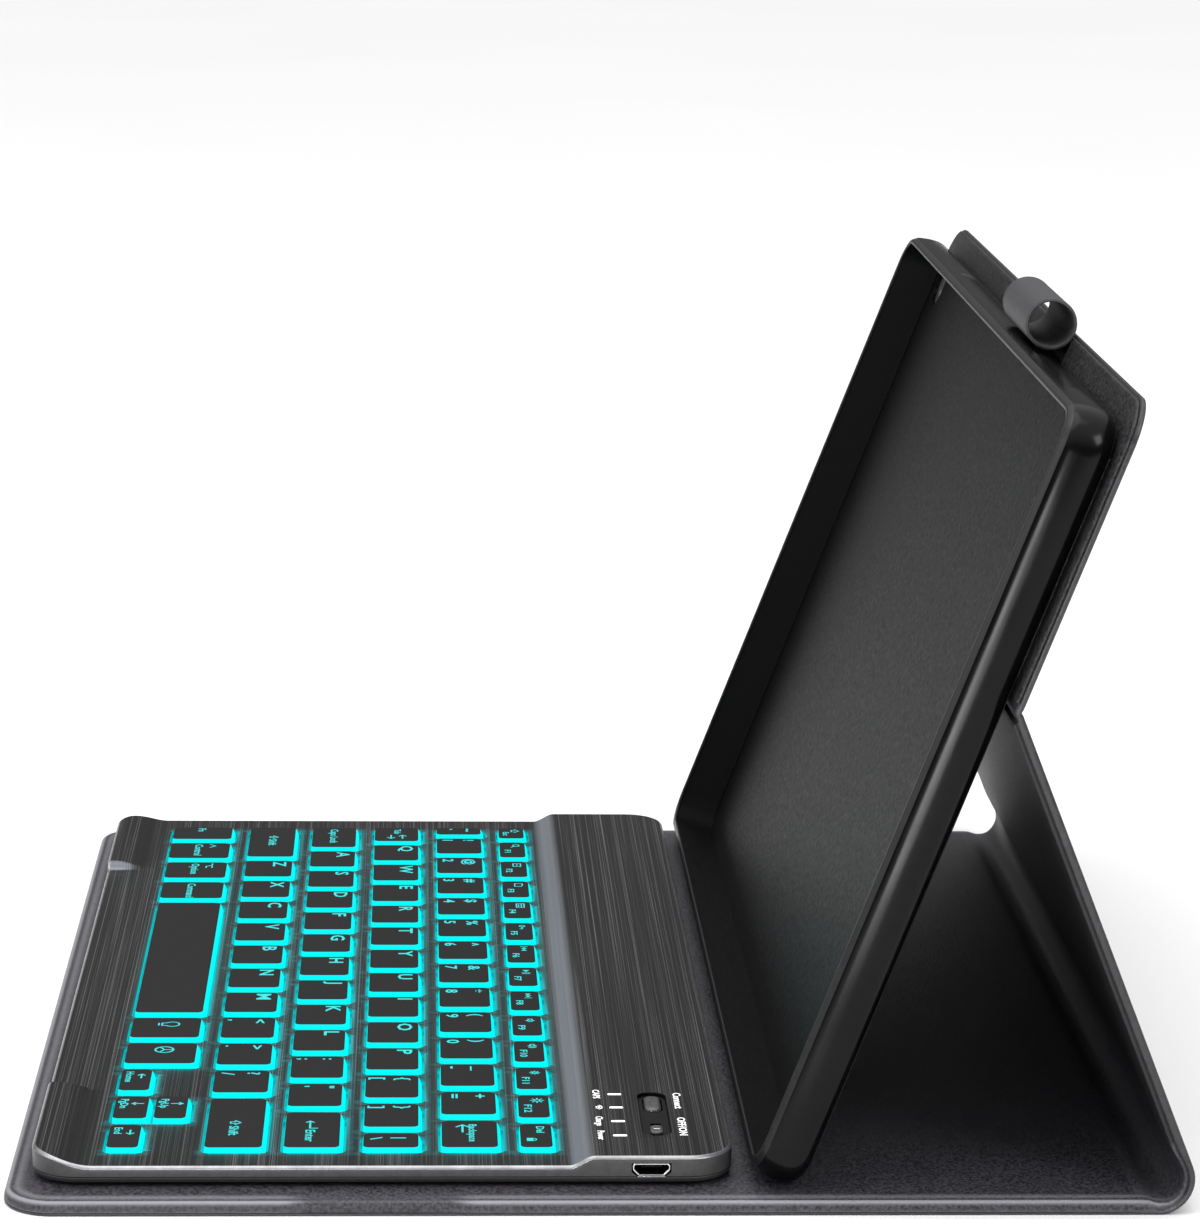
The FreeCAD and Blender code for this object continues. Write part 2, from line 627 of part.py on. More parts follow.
add_cells("bottom", ["key_page_up"], front=hu, edges=right[3:5])

key_nodes = {}
key_holes = []
gap, webw = S("key_gap"), S("key_web")
for k, (name, xa, xb, yf, yr) in enumerate(plan):
    first_cell = abs(xa.v - KEY_LEFT) < 1e-6
    hx0 = (xa + 0.3) if first_cell else (xa + webw + gap)
    hx1 = xb + gap
    stacked = name in ("key_page_up", "key_page_down")
    y0, y1 = yf, yr
    if name == "key_page_up":
        y0 = hf
        yf_key = hu + 0.1
        yr_key = yr - gap
    elif name == "key_page_down":
        yf_key = yf + gap
        yr_key = hf - 0.3
    else:
        yf_key, yr_key = yf + gap, yr - gap
    key_holes.append(block("key_opening_%02d" % k, hx0, hx1, y0, y1,
                           S("deck_low") - 2, S("deck_low") + 2))
    cap = taper_block("keycap_%02d" % k, hx0 + gap, xb, yf_key, yr_key,
                      S("key_base"), S("key_top"), S("key_taper"))
    key_nodes.setdefault(name, []).append(cap)

# openings on the raised deck and in the right-hand wall
rx, ry = S("recess_x"), S("recess_y")
rl, rs = S("recess_long") / 2, S("recess_short") / 2
recess = slab("control_recess", rx - rl, rx + rl, ry - rs, ry + rs,
              S("deck_high") - 2, S("deck_high") + 1, 2.4)
lamps_x = [90.8, 98.9, 107.2, 115.6]
lamp_tools, lamps = [], []
for i, lx in enumerate(lamps_x):
    args = (lx - S("lamp_short") / 2, lx + S("lamp_short") / 2,
            S("lamp_y") - S("lamp_long") / 2, S("lamp_y") + S("lamp_long") / 2)
    lamp_tools.append(block("lamp_slot_%d" % i, args[0] - 0.05, args[1] + 0.05,
                            args[2] - 0.05, args[3] + 0.05, S("deck_high") - 2, S("deck_high") + 1))
    lamps.append(block("lamp_%d" % i, args[0], args[1], args[2], args[3],
                       S("deck_high") - 2.2, S("deck_high") - 0.05))
pw, pt = S("port_wide") / 2, S("port_tall") / 2
port_tool = block("port_opening", kw - 4, kw + 1, S("port_y") - pw - 0.2, S("port_y") + pw + 0.2,
                  S("port_z") - pt - 0.2, S("port_z") + pt + 0.2)
nodes.append(cut("keyboard_top_case", solid_top,
                 [cavity] + key_holes + [recess, port_tool] + lamp_tools))

# bottom case: a shallow pan with bosses for the screws
pan = slab("pan_block", -kw, kw, S("kb_front"), S("kb_rear"), S("kb_floor"),
           S("kb_split") - 0.05, S("kb_corner"))
pan_room = slab("pan_room", -kw + wall, kw - wall, S("kb_front") + wall, S("kb_rear") - wall,
                S("kb_floor") + 0.6, S("kb_split") + 1, S("kb_corner") - wall)
screw_at = [(-123.0, -104.2), (123.0, -104.2), (-123.0, 20.5), (123.0, 20.5), (0.0, 20.5), (-60, 20.5), (60, 20.5)]
screw_at = [(x, y) for x, y in screw_at if y > 0]
bosses, holes, screws = [], [], []
for i, (x, y) in enumerate(screw_at):
    holes.append(drum("screw_hole_%d" % i, x, y, S("kb_floor") - 1, S("kb_floor") + 3, S("screw_radius") + 0.1))
    shank = drum("screw_shank_%d" % i, x, y, S("kb_floor") + 0.3, S("deck_high") - 1.4, S("screw_radius"))
    head = drum("screw_head_%d" % i, x, y, S("kb_floor") + 0.05, S("kb_floor") + 0.35, S("screw_head"))
    holes.append(drum("screw_sink_%d" % i, x, y, S("kb_floor") - 1, S("kb_floor") + 0.37, S("screw_head") + 0.1))
    screws.append(fuse("screw_%d" % i, [shank, head]))
nodes.append(cut("keyboard_bottom_case", pan, [pan_room, fuse("screw_room", holes)]))
nodes.append(group("case_screws", screws))
# threaded posts under the raised deck
posts = []
for i, (x, y) in enumerate(screw_at):
    p_out = drum("post_out_%d" % i, x, y, S("kb_floor") + 0.65, S("deck_high") - 0.92, 2.4)
    p_in = drum("post_in_%d" % i, x, y, S("kb_floor") - 1, S("deck_high") - 1.3, S("screw_radius") + 0.03)
    posts.append(cut("post_%d" % i, p_out, p_in))
nodes.append(group("screw_posts", posts))

feet = [drum("rubber_foot_%d" % i, x, y, S("lining_top") + 0.1, S("kb_floor"), S("foot_radius"))
        for i, (x, y) in enumerate([(-112, -98), (112, -98), (-112, 12), (112, 12)])]
nodes.append(group("keyboard_feet", feet))

# the sandwich under the keys
fl = S("kb_floor") + 0.6
nodes.append(slab("key_backplate", -kw + wall + 2, kw - wall - 2, -104, -6.5, fl + 0.02, fl + 0.22, 5))
nodes.append(slab("light_guide", -kw + wall + 2, kw - wall - 2, -104, -6.5, fl + 0.24, fl + 0.5, 5))
membrane_sheet = slab("membrane_sheet", -kw + wall + 2, kw - wall - 2, -104, -6.5, fl + 0.52,
                      fl + 0.64, 5)
membrane_tail = block("membrane_tail", 70, 82, -8, -2.3, fl + 0.52, fl + 0.64)
nodes.append(fuse("key_membrane", [membrane_sheet, membrane_tail]))
# silicone domes, one under each key, on a common thin sheet
dome_base = slab("dome_base", -kw + wall + 2, kw - wall - 2, -104, -6.5, fl + 0.66, fl + 0.78, 5)
domes = [dome_base]
for k, (name, xa, xb, yf, yr) in enumerate(plan):
    first_cell = abs(xa.v - KEY_LEFT) < 1e-6
    hx0 = (xa + 0.3) if first_cell else (xa + webw + gap)
    cxm = (hx0 + gap + xb) / 2
    if name == "key_page_down":
        cym = (yf + hf) / 2
    elif name == "key_page_up":
        cym = (hu + yr) / 2
    else:
        cym = (yf + yr) / 2
    cone = doc.addObject("Part::Cone", "dome_%02d" % k)
    bind(cone, "Radius1", 1.9)
    bind(cone, "Radius2", 1.1)
    bind(cone, "Height", S("key_base") - (fl + 0.76) - 0.1)
    place(cone, cxm, cym, fl + 0.76)
    domes.append(cone)
nodes.append(fuse("rubber_dome_sheet", domes))

# electronics under the raised deck
pcb = slab("pcb_blank", 66, 125.5, -2.0, 17.5, fl + 0.1, fl + 0.7, 1.0)
nodes.append(pcb)
pcb.Label = "main_pcb"
nodes.append(block("battery", -48, 52, -1.0, 17.0, fl + 0.1, S("deck_high") - S("deck_thick") - 0.3))
conn_out = slab("port_shell_block", kw - 6.3, kw - 0.3, S("port_y") - pw, S("port_y") + pw,
                S("port_z") - pt, S("port_z") + pt)
conn_in = block("port_shell_room", kw - 5.9, kw + 1, S("port_y") - pw + 0.3, S("port_y") + pw - 0.3,
                S("port_z") - pt + 0.3, S("port_z") + pt - 0.3)
nodes.append(cut("charging_port_shell", conn_out, conn_in))
nodes.append(block("charging_port_tongue", kw - 5.88, kw - 1.2, S("port_y") - 2.0, S("port_y") + 2.0,
                   S("port_z") + 0.1, S("port_z") + 0.7))
nodes.append(group("status_light_pipes", lamps))
bezel_out = slab("bezel_block", rx - rl + 0.05, rx + rl - 0.05, ry - rs + 0.05, ry + rs - 0.05,
                 S("recess_floor") - 1.0, S("recess_floor"), 2.3)
bx0, bx1 = S("button_x") - S("button_long") / 2, S("button_x") + S("button_long") / 2
by0, by1 = ry - S("button_short") / 2, ry + S("button_short") / 2
btn_hole = slab("bezel_button_hole", bx0 - 0.3, bx1 + 0.3, by0 - 0.3, by1 + 0.3, 5, 10, 1.7)
sl_hole = block("bezel_slider_slot", S("slider_x") - S("slider_long") / 2 - 2.3,
                S("slider_x") + S("slider_long") / 2 + 0.3, ry - 1.0, ry + 1.0, 5, 10)
nodes.append(cut("control_bezel", bezel_out, [btn_hole, sl_hole]))
nodes.append(block("connect_switch", S("button_x") - 2.2, S("button_x") + 2.2, ry - 2.2, ry + 2.2,
                   fl + 0.72, fl + 1.9))
nodes.append(block("power_switch", S("slider_x") - 5.2, S("slider_x") + 3.2, ry - 2.0, ry + 2.0,
                   fl + 0.72, fl + 1.9))

# ---------------------------------------------------------------- moving controls
button = slab("connect_button_block", bx0, bx1, by0, by1, S("recess_floor") - 1.7, S("button_top"), 1.4)
button.Label = "connect_button"
nodes.append(button)
knob = block("slider_knob_cap", S("slider_x") - S("slider_long") / 2, S("slider_x") + S("slider_long") / 2,
             ry - S("slider_short") / 2, ry + S("slider_short") / 2, S("recess_floor") + 0.05,
             S("slider_top"))
stem = block("slider_knob_stem", S("slider_x") - 1.2, S("slider_x") + 1.2, ry - 0.7, ry + 0.7,
             S("recess_floor") - 2.0, S("recess_floor") + 0.3)
nodes.append(fuse("power_slider", [knob, stem]))

for name, caps in key_nodes.items():
    if len(caps) == 1:
        caps[0].Label = name
        nodes.append(caps[0])
    else:
        nodes.append(group(name, caps))

# ---------------------------------------------------------------- write out
doc.recompute()
bad = []
for o in doc.Objects:
    if "Invalid" in o.State or "Error" in o.State:
        bad.append((o.Label, list(o.State)))
if bad:
    raise RuntimeError("failed objects: %s" % bad[:8])
names = set()
for o in nodes:
    s = o.Shape
    if s.isNull() or not s.isValid() or s.Volume <= 0:
        raise RuntimeError("bad shape: " + o.Label)
    if o.Label in names:
        raise RuntimeError("two nodes share a name: " + o.Label)
    names.add(o.Label)
    b = s.BoundBox
    print("%-22s solids %2d vol %10.1f  x %.2f..%.2f y %.2f..%.2f z %.2f..%.2f" % (
        o.Label, len(s.Solids), s.Volume, b.XMin, b.XMax, b.YMin, b.YMax, b.ZMin, b.ZMax))
    s.exportStep("parts/%s.step" % o.Label)
print("nodes", len(nodes))
print("fold", fold_y, fold_z, "stand tilt", stand_tilt, "length", stand_len)
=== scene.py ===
from math import sin, cos, tan, radians, pi, sqrt, exp, hypot, atan2

import bpy
import bmesh
from mathutils import Vector, Matrix, geometry


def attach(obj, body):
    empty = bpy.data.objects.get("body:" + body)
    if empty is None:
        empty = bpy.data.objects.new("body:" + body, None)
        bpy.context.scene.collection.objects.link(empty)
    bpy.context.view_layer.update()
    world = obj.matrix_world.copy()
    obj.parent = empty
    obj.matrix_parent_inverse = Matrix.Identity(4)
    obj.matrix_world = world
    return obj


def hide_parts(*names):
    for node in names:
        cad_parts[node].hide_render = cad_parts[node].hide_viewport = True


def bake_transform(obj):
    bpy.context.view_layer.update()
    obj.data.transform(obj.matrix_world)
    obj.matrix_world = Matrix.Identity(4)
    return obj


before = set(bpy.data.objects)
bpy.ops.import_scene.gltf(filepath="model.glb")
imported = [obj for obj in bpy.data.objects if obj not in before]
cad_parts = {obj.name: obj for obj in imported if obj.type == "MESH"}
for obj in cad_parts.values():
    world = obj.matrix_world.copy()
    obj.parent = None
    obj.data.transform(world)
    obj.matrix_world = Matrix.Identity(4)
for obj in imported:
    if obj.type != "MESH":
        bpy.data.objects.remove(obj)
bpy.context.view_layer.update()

# Looks of the tablet keyboard case. Builders below take millimetres; x, y, z
# are the part's own axes. The tray leans in its own frame (x, n deep, u up)
# and the stand in another (x, n out, s up).
MM = 0.001
LEAN = radians(20.68)
FY, FZ = 30.05, 8.35
SY, SZ = 108.9, 7.0
TILT = radians(22.05373142871211)
SLEN = 97.97908319728587


def T(x, n, u):
    return (x, FY + u * sin(LEAN) + n * cos(LEAN), FZ + u * cos(LEAN) - n * sin(LEAN))


def ST(x, n, s):
    return (x, SY + n * cos(TILT) - s * sin(TILT), SZ + n * sin(TILT) + s * cos(TILT))


def smooth(a, b, x):
    t = min(1.0, max(0.0, (x - a) / (b - a)))
    return t * t * (3 - 2 * t)


def lin(r, g, b):
    def f(c):
        c /= 255.0
        return c / 12.92 if c <= 0.04045 else ((c + 0.055) / 1.055) ** 2.4
    return (f(r), f(g), f(b), 1.0)


# ------------------------------------------------------------------ materials
def new_mat(name):
    m = bpy.data.materials.new(name)
    m.use_nodes = True
    nt = m.node_tree
    return m, nt, nt.nodes["Principled BSDF"]


def node(nt, kind, **inputs):
    n = nt.nodes.new(kind)
    for k, v in inputs.items():
        key = k.replace("_", " ")
        if key in n.inputs:
            n.inputs[key].default_value = v
        else:
            setattr(n, k, v)
    return n


def mapped(nt, stretch=(1, 1, 1), turn=(0, 0, 0)):
    tc = nt.nodes.new("ShaderNodeTexCoord")
    mp = nt.nodes.new("ShaderNodeMapping")
    mp.inputs["Scale"].default_value = stretch
    mp.inputs["Rotation"].default_value = turn
    nt.links.new(tc.outputs["Object"], mp.inputs["Vector"])
    return mp.outputs["Vector"]


def mix_colour(nt, fac, a, b):
    mx = nt.nodes.new("ShaderNodeMix")
    mx.data_type = "RGBA"
    mx.inputs[6].default_value = a
    mx.inputs[7].default_value = b
    if fac is not None:
        nt.links.new(fac, mx.inputs[0])
    return mx.outputs[2], mx


def spread(nt, src, lo, hi, a=0.3, b=0.7):
    mr = nt.nodes.new("ShaderNodeMapRange")
    mr.inputs["From Min"].default_value = a
    mr.inputs["From Max"].default_value = b
    mr.inputs["To Min"].default_value = lo
    mr.inputs["To Max"].default_value = hi
    nt.links.new(src, mr.inputs["Value"])
    return mr.outputs["Result"]


def surface(name, a, b, rough=0.5, rr=0.08, metal=0.0, scale=300.0, detail=4.0,
            stretch=(1, 1, 1), bump=0.0, bscale=2500.0, bdist=0.00008, coat=0.0,
            coat_rough=0.08, spec=0.5, kind="noise"):
    """A finish that varies in colour and roughness over a noise, with a fine relief."""
    m, nt, p = new_mat(name)
    vec = mapped(nt, stretch)
    n1 = node(nt, "ShaderNodeTexNoise", Scale=scale, Detail=detail, Roughness=0.6)
    nt.links.new(vec, n1.inputs["Vector"])
    fac = spread(nt, n1.outputs["Fac"], 0.0, 1.0)
    col, _ = mix_colour(nt, fac, a, b)
    nt.links.new(col, p.inputs["Base Color"])
    nt.links.new(spread(nt, n1.outputs["Fac"], rough - rr, rough + rr), p.inputs["Roughness"])
    p.inputs["Metallic"].default_value = metal
    p.inputs["Specular IOR Level"].default_value = spec
    if coat:
        p.inputs["Coat Weight"].default_value = coat
        p.inputs["Coat Roughness"].default_value = coat_rough
    if bump:
        if kind == "cells":
            n2 = node(nt, "ShaderNodeTexVoronoi", Scale=bscale)
            src = n2.outputs["Distance"]
        else:
            n2 = node(nt, "ShaderNodeTexNoise", Scale=bscale, Detail=3.0, Roughness=0.55)
            src = n2.outputs["Fac"]
        nt.links.new(mapped(nt), n2.inputs["Vector"])
        bp = node(nt, "ShaderNodeBump", Strength=bump, Distance=bdist)
        nt.links.new(src, bp.inputs["Height"])
        nt.links.new(bp.outputs["Normal"], p.inputs["Normal"])
    return m


def ribbed(name, a, b, direction, pitch=1.55, rough=0.42, depth=0.00016):
    """Synthetic leather pressed with fine slanted ribs across a direction."""
    m, nt, p = new_mat(name)
    tc = nt.nodes.new("ShaderNodeTexCoord")
    dot = nt.nodes.new("ShaderNodeVectorMath")
    dot.operation = "DOT_PRODUCT"
    dot.inputs[1].default_value = tuple(c * 2 * pi / (pitch * MM) for c in direction)
    nt.links.new(tc.outputs["Object"], dot.inputs[0])
    grain = node(nt, "ShaderNodeTexNoise", Scale=900.0, Detail=3.0)
    nt.links.new(tc.outputs["Object"], grain.inputs["Vector"])
    wob = nt.nodes.new("ShaderNodeMath")
    wob.operation = "MULTIPLY_ADD"
    nt.links.new(grain.outputs["Fac"], wob.inputs[0])
    wob.inputs[1].default_value = 1.3
    nt.links.new(dot.outputs["Value"], wob.inputs[2])
    sn = nt.nodes.new("ShaderNodeMath")
    sn.operation = "SINE"
    nt.links.new(wob.outputs[0], sn.inputs[0])
    fac = spread(nt, sn.outputs[0], 0.0, 1.0, -1.0, 1.0)
    col, _ = mix_colour(nt, fac, a, b)
    nt.links.new(col, p.inputs["Base Color"])
    nt.links.new(spread(nt, grain.outputs["Fac"], rough - 0.07, rough + 0.1), p.inputs["Roughness"])
    add = nt.nodes.new("ShaderNodeMath")
    add.operation = "MULTIPLY_ADD"
    nt.links.new(grain.outputs["Fac"], add.inputs[0])
    add.inputs[1].default_value = 0.5
    nt.links.new(fac, add.inputs[2])
    bp = node(nt, "ShaderNodeBump", Strength=0.8, Distance=depth)
    nt.links.new(add.outputs[0], bp.inputs["Height"])
    nt.links.new(bp.outputs["Normal"], p.inputs["Normal"])
    return m


def glowing(name, colour, strength, base=(0.0, 0.02, 0.02, 1.0), vary=0.06, scale=220.0):
    """A lit part: its light varies a little over its surface."""
    m, nt, p = new_mat(name)
    vec = mapped(nt)
    n1 = node(nt, "ShaderNodeTexNoise", Scale=scale, Detail=2.0)
    nt.links.new(vec, n1.inputs["Vector"])
    dim = tuple(c * (1 - vary) for c in colour[:3]) + (1.0,)
    col, _ = mix_colour(nt, spread(nt, n1.outputs["Fac"], 0, 1), dim, colour)
    nt.links.new(col, p.inputs["Emission Color"])
    p.inputs["Emission Strength"].default_value = strength
    basec, _ = mix_colour(nt, n1.outputs["Fac"], base, tuple(c * 1.4 for c in base[:3]) + (1.0,))
    nt.links.new(basec, p.inputs["Base Color"])
    p.inputs["Roughness"].default_value = 0.5
    p.inputs["Specular IOR Level"].default_value = 0.05
    return m


def brushed_deck(name):
    """Dark metal brushed along X, with a painted highlight where it faces front and a painted shade where it falls away
    to the rear; lit near the keys.
    """
    m, nt, p = new_mat(name)
    wide = node(nt, "ShaderNodeTexNoise", Scale=1.0, Detail=4.0, Roughness=0.7)
    nt.links.new(mapped(nt, (3.0, 2900.0, 30.0)), wide.inputs["Vector"])
    fine = node(nt, "ShaderNodeTexNoise", Scale=1.0, Detail=3.0, Roughness=0.7)
    nt.links.new(mapped(nt, (7.0, 7600.0, 30.0)), fine.inputs["Vector"])
    both = nt.nodes.new("ShaderNodeMath")
    both.operation = "MULTIPLY_ADD"
    nt.links.new(wide.outputs["Fac"], both.inputs[0])
    both.inputs[1].default_value = 0.45
    part = nt.nodes.new("ShaderNodeMath")
    part.operation = "MULTIPLY"
    part.inputs[1].default_value = 0.55
    nt.links.new(fine.outputs["Fac"], part.inputs[0])
    nt.links.new(part.outputs[0], both.inputs[2])
    ramp = nt.nodes.new("ShaderNodeValToRGB")
    e = ramp.color_ramp.elements
    e[0].position, e[0].color = 0.40, lin(9, 9, 9)
    e[1].position, e[1].color = 0.66, lin(122, 120, 120)
    mid = e.new(0.52)
    mid.color = lin(25, 25, 25)
    nt.links.new(both.outputs[0], ramp.inputs["Fac"])
    # painted highlight where the per-vertex value is above 0, painted shade where it is below 0
    at2 = nt.nodes.new("ShaderNodeAttribute")
    at2.attribute_name = "painted_shading"
    pos = nt.nodes.new("ShaderNodeMath")
    pos.operation = "MAXIMUM"
    pos.inputs[1].default_value = 0.0
    nt.links.new(at2.outputs["Fac"], pos.inputs[0])
    neg = nt.nodes.new("ShaderNodeMath")
    neg.operation = "MULTIPLY"
    neg.inputs[1].default_value = -1.0
    nt.links.new(at2.outputs["Fac"], neg.inputs[0])
    neg2 = nt.nodes.new("ShaderNodeMath")
    neg2.operation = "MAXIMUM"
    neg2.inputs[1].default_value = 0.0
    nt.links.new(neg.outputs[0], neg2.inputs[0])
    # lighten to a pale blue-grey as a painted highlight, then darken to near black as a painted shade
    with_painted_highlight, mx1 = mix_colour(nt, pos.outputs[0], (0, 0, 0, 1), lin(150, 156, 164))
    nt.links.new(ramp.outputs["Color"], mx1.inputs[6])
    dark, mx2 = mix_colour(nt, neg2.outputs[0], (0, 0, 0, 1), lin(6, 6, 7))
    nt.links.new(with_painted_highlight, mx2.inputs[6])
    nt.links.new(dark, p.inputs["Base Color"])
    p.inputs["Metallic"].default_value = 0.5
    p.inputs["Specular IOR Level"].default_value = 0.2
    nt.links.new(spread(nt, fine.outputs["Fac"], 0.34, 0.52), p.inputs["Roughness"])
    bp = node(nt, "ShaderNodeBump", Strength=0.3, Distance=0.00002)
    nt.links.new(both.outputs[0], bp.inputs["Height"])
    nt.links.new(bp.outputs["Normal"], p.inputs["Normal"])
    at = nt.nodes.new("ShaderNodeAttribute")
    at.attribute_name = "glow"
    col, _ = mix_colour(nt, at.outputs["Fac"], (0, 0, 0, 1), (0.0, 0.75, 0.8, 1))
    nt.links.new(col, p.inputs["Emission Color"])
    p.inputs["Emission Strength"].default_value = 0.7
    return m


def grained_painted_highlight(name, a, b, light, rough=0.52, speck=2300.0, bump=0.6, spec=0.35):
    """Grained leather; a painted highlight lifts the pressed edges."""
    m, nt, p = new_mat(name)
    g = node(nt, "ShaderNodeTexNoise", Scale=speck, Detail=2.5, Roughness=0.6)
    nt.links.new(mapped(nt), g.inputs["Vector"])
    col, _ = mix_colour(nt, spread(nt, g.outputs["Fac"], 0, 1, 0.36, 0.64), a, b)
    at = nt.nodes.new("ShaderNodeAttribute")
    at.attribute_name = "painted_shading"
    # the light colour is a painted highlight, mixed in along the edges
    c2, mx = mix_colour(nt, at.outputs["Fac"], a, light)
    nt.links.new(col, mx.inputs[6])
    nt.links.new(c2, p.inputs["Base Color"])
    nt.links.new(spread(nt, g.outputs["Fac"], rough - 0.08, rough + 0.08), p.inputs["Roughness"])
    p.inputs["Specular IOR Level"].default_value = spec
    bp = node(nt, "ShaderNodeBump", Strength=bump, Distance=0.00018)
    nt.links.new(g.outputs["Fac"], bp.inputs["Height"])
    nt.links.new(bp.outputs["Normal"], p.inputs["Normal"])
    return m


CYAN = (0.0, 1.0, 1.0, 1.0)
M = {}
M["deck"] = brushed_deck("deck_brushed")
M["silver"] = surface("deck_cut_edge", lin(128, 128, 131), lin(158, 158, 161), 0.32, 0.03, 0.75, 300,
                      bump=0.0)
M["side"] = surface("case_side", lin(64, 64, 65), lin(76, 76, 77), 0.42, 0.06, 0.2, 700,
                    bump=0.12, bscale=4000, bdist=0.00004, spec=0.3)
M["bottom"] = surface("case_bottom", lin(36, 36, 37), lin(46, 46, 47), 0.5, 0.07, 0.0, 900, bump=0.2,
                      bscale=4200, bdist=0.00004)
M["cap"] = surface("keycap_black", lin(24, 23, 24), lin(30, 29, 30), 0.6, 0.05, 0.0, 700, bump=0.10,
                   bscale=5200, bdist=0.00002, spec=0.15)
M["glow"] = glowing("keycap_light", CYAN, 1.0, (0.0, 0.02, 0.02, 1), 0.03)
M["legend"] = glowing("keycap_legend", (0.10, 0.93, 0.93, 1), 0.80, (0.0, 0.1, 0.1, 1), 0.10, 900)
# white print, also made to glow as painted light
M["white"] = glowing("printed_white_painted_glow", (1, 1, 1, 1), 0.75, (0.6, 0.6, 0.6, 1), 0.06, 900)
M["lamp"] = glowing("lamp_white", (1, 1, 1, 1), 1.25, (0.7, 0.7, 0.7, 1), 0.05, 900)
# third colour of each: the painted highlight along the edges
M["lining"] = grained_painted_highlight("lining_grain", lin(30, 29, 32), lin(70, 68, 75), lin(136, 135, 140), 0.5, 1450.0, 0.65)
# the panel and stand linings are the cover's leather in darker colours, as painted shade
M["lining_dark"] = grained_painted_highlight("lining_grain_panel_shaded", lin(14, 14, 15), lin(56, 56, 58), lin(96, 96, 98), 0.5, 1300.0, 0.7)
M["inner"] = grained_painted_highlight("lining_grain_stand_shaded", lin(26, 26, 27), lin(40, 40, 42), lin(84, 84, 86), 0.5, 1300.0, 0.35, 0.3)
M["skin_edge"] = surface("skin_edge", lin(36, 36, 38), lin(54, 54, 56), 0.38, 0.08, 0.0, 900, bump=0.3,
                         bscale=2300, bdist=0.0001)
up = Vector((0, -sin(TILT), cos(TILT)))
panel_up = Vector((0, sin(LEAN), cos(LEAN)))
slant = radians(22)
M["rib_stand"] = ribbed("skin_ribs_stand", lin(13, 13, 15), lin(46, 46, 49),
                        (cos(slant), up.y * sin(slant), up.z * sin(slant)))
M["rib_panel"] = ribbed("skin_ribs_panel", lin(13, 13, 15), lin(46, 46, 49),
                        (cos(slant), panel_up.y * sin(slant), panel_up.z * sin(slant)))
M["rib_base"] = ribbed("skin_ribs_base", lin(13, 13, 15), lin(46, 46, 49),
                       (cos(slant), -sin(slant), 0.0))
M["gloss"] = surface("tray_gloss", lin(3, 3, 4), lin(7, 7, 8), 0.19, 0.03, 0.0, 60, 2, bump=0.02,
                     bscale=900, bdist=0.00003, spec=0.16)
M["lip"] = surface("tray_lip", lin(24, 24, 25), lin(30, 30, 31), 0.34, 0.04, 0.0, 600, bump=0.0,
                   bscale=2500, bdist=0.00003, spec=0.3)
M["bay"] = surface("tray_bay", lin(6, 6, 7), lin(10, 10, 11), 0.52, 0.08, 0.0, 900, bump=0.2,
                   bscale=3200, bdist=0.00005, spec=0.15)
M["elastic"] = surface("loop_elastic", lin(48, 48, 50), lin(66, 66, 68), 0.6, 0.1, 0.0, 1.0, 3,
                       stretch=(2600, 700, 700), bump=0.4, bscale=2600, bdist=0.00012, kind="cells")
M["control"] = surface("control_black", lin(5, 5, 6), lin(11, 11, 12), 0.4, 0.06, 0.0, 900, bump=0.05,
                       spec=0.12)
M["knob"] = surface("control_knob", lin(72, 72, 73), lin(96, 96, 97), 0.2, 0.05, 0.4, 900, bump=0.06)
M["plate"] = surface("port_plated", lin(205, 206, 208), lin(236, 237, 238), 0.22, 0.05, 0.9, 900, bump=0.05)
M["rubber"] = surface("foot_rubber", lin(30, 30, 31), lin(44, 44, 45), 0.75, 0.06, 0.0, 900, bump=0.4,
                      bscale=3000)
M["board"] = surface("cover_board", lin(170, 155, 138), lin(196, 183, 166), 0.8, 0.05, 0.0, 500, 5,
                     stretch=(1, 3, 1), bump=0.4, bscale=1500)
M["magnet"] = surface("magnet_nickel", lin(176, 176, 180), lin(206, 206, 210), 0.25, 0.06, 0.95, 700, bump=0.05)
M["tape"] = surface("adhesive_tape", lin(214, 212, 204), lin(232, 230, 224), 0.6, 0.08, 0.0, 500, bump=0.25)
M["steel"] = surface("screw_steel", lin(96, 96, 100), lin(132, 132, 136), 0.32, 0.06, 0.9, 900, bump=0.1)
M["post"] = surface("post_plastic", lin(24, 24, 25), lin(40, 40, 41), 0.5, 0.06, 0.0, 900, bump=0.2)
M["film"] = surface("membrane_film", lin(172, 178, 182), lin(206, 210, 214), 0.35, 0.08, 0.0, 240, bump=0.08)
M["pcb"] = surface("circuit_board", lin(12, 68, 40), lin(24, 96, 58), 0.4, 0.08, 0.0, 1100, 6, bump=0.3,
                   bscale=1800)
M["pouch"] = surface("battery_pouch", lin(168, 170, 174), lin(200, 202, 206), 0.35, 0.08, 0.6, 160, bump=0.25,
                     bscale=500, bdist=0.0002)
M["dome"] = glowing("dome_sheet_lit", (0.0, 0.55, 0.60, 1), 0.55, (0.02, 0.3, 0.32, 1), 0.35, 160)
M["guide"] = glowing("light_guide_lit", (0.0, 0.8, 0.85, 1), 0.6, (0.05, 0.4, 0.42, 1), 0.2, 120)


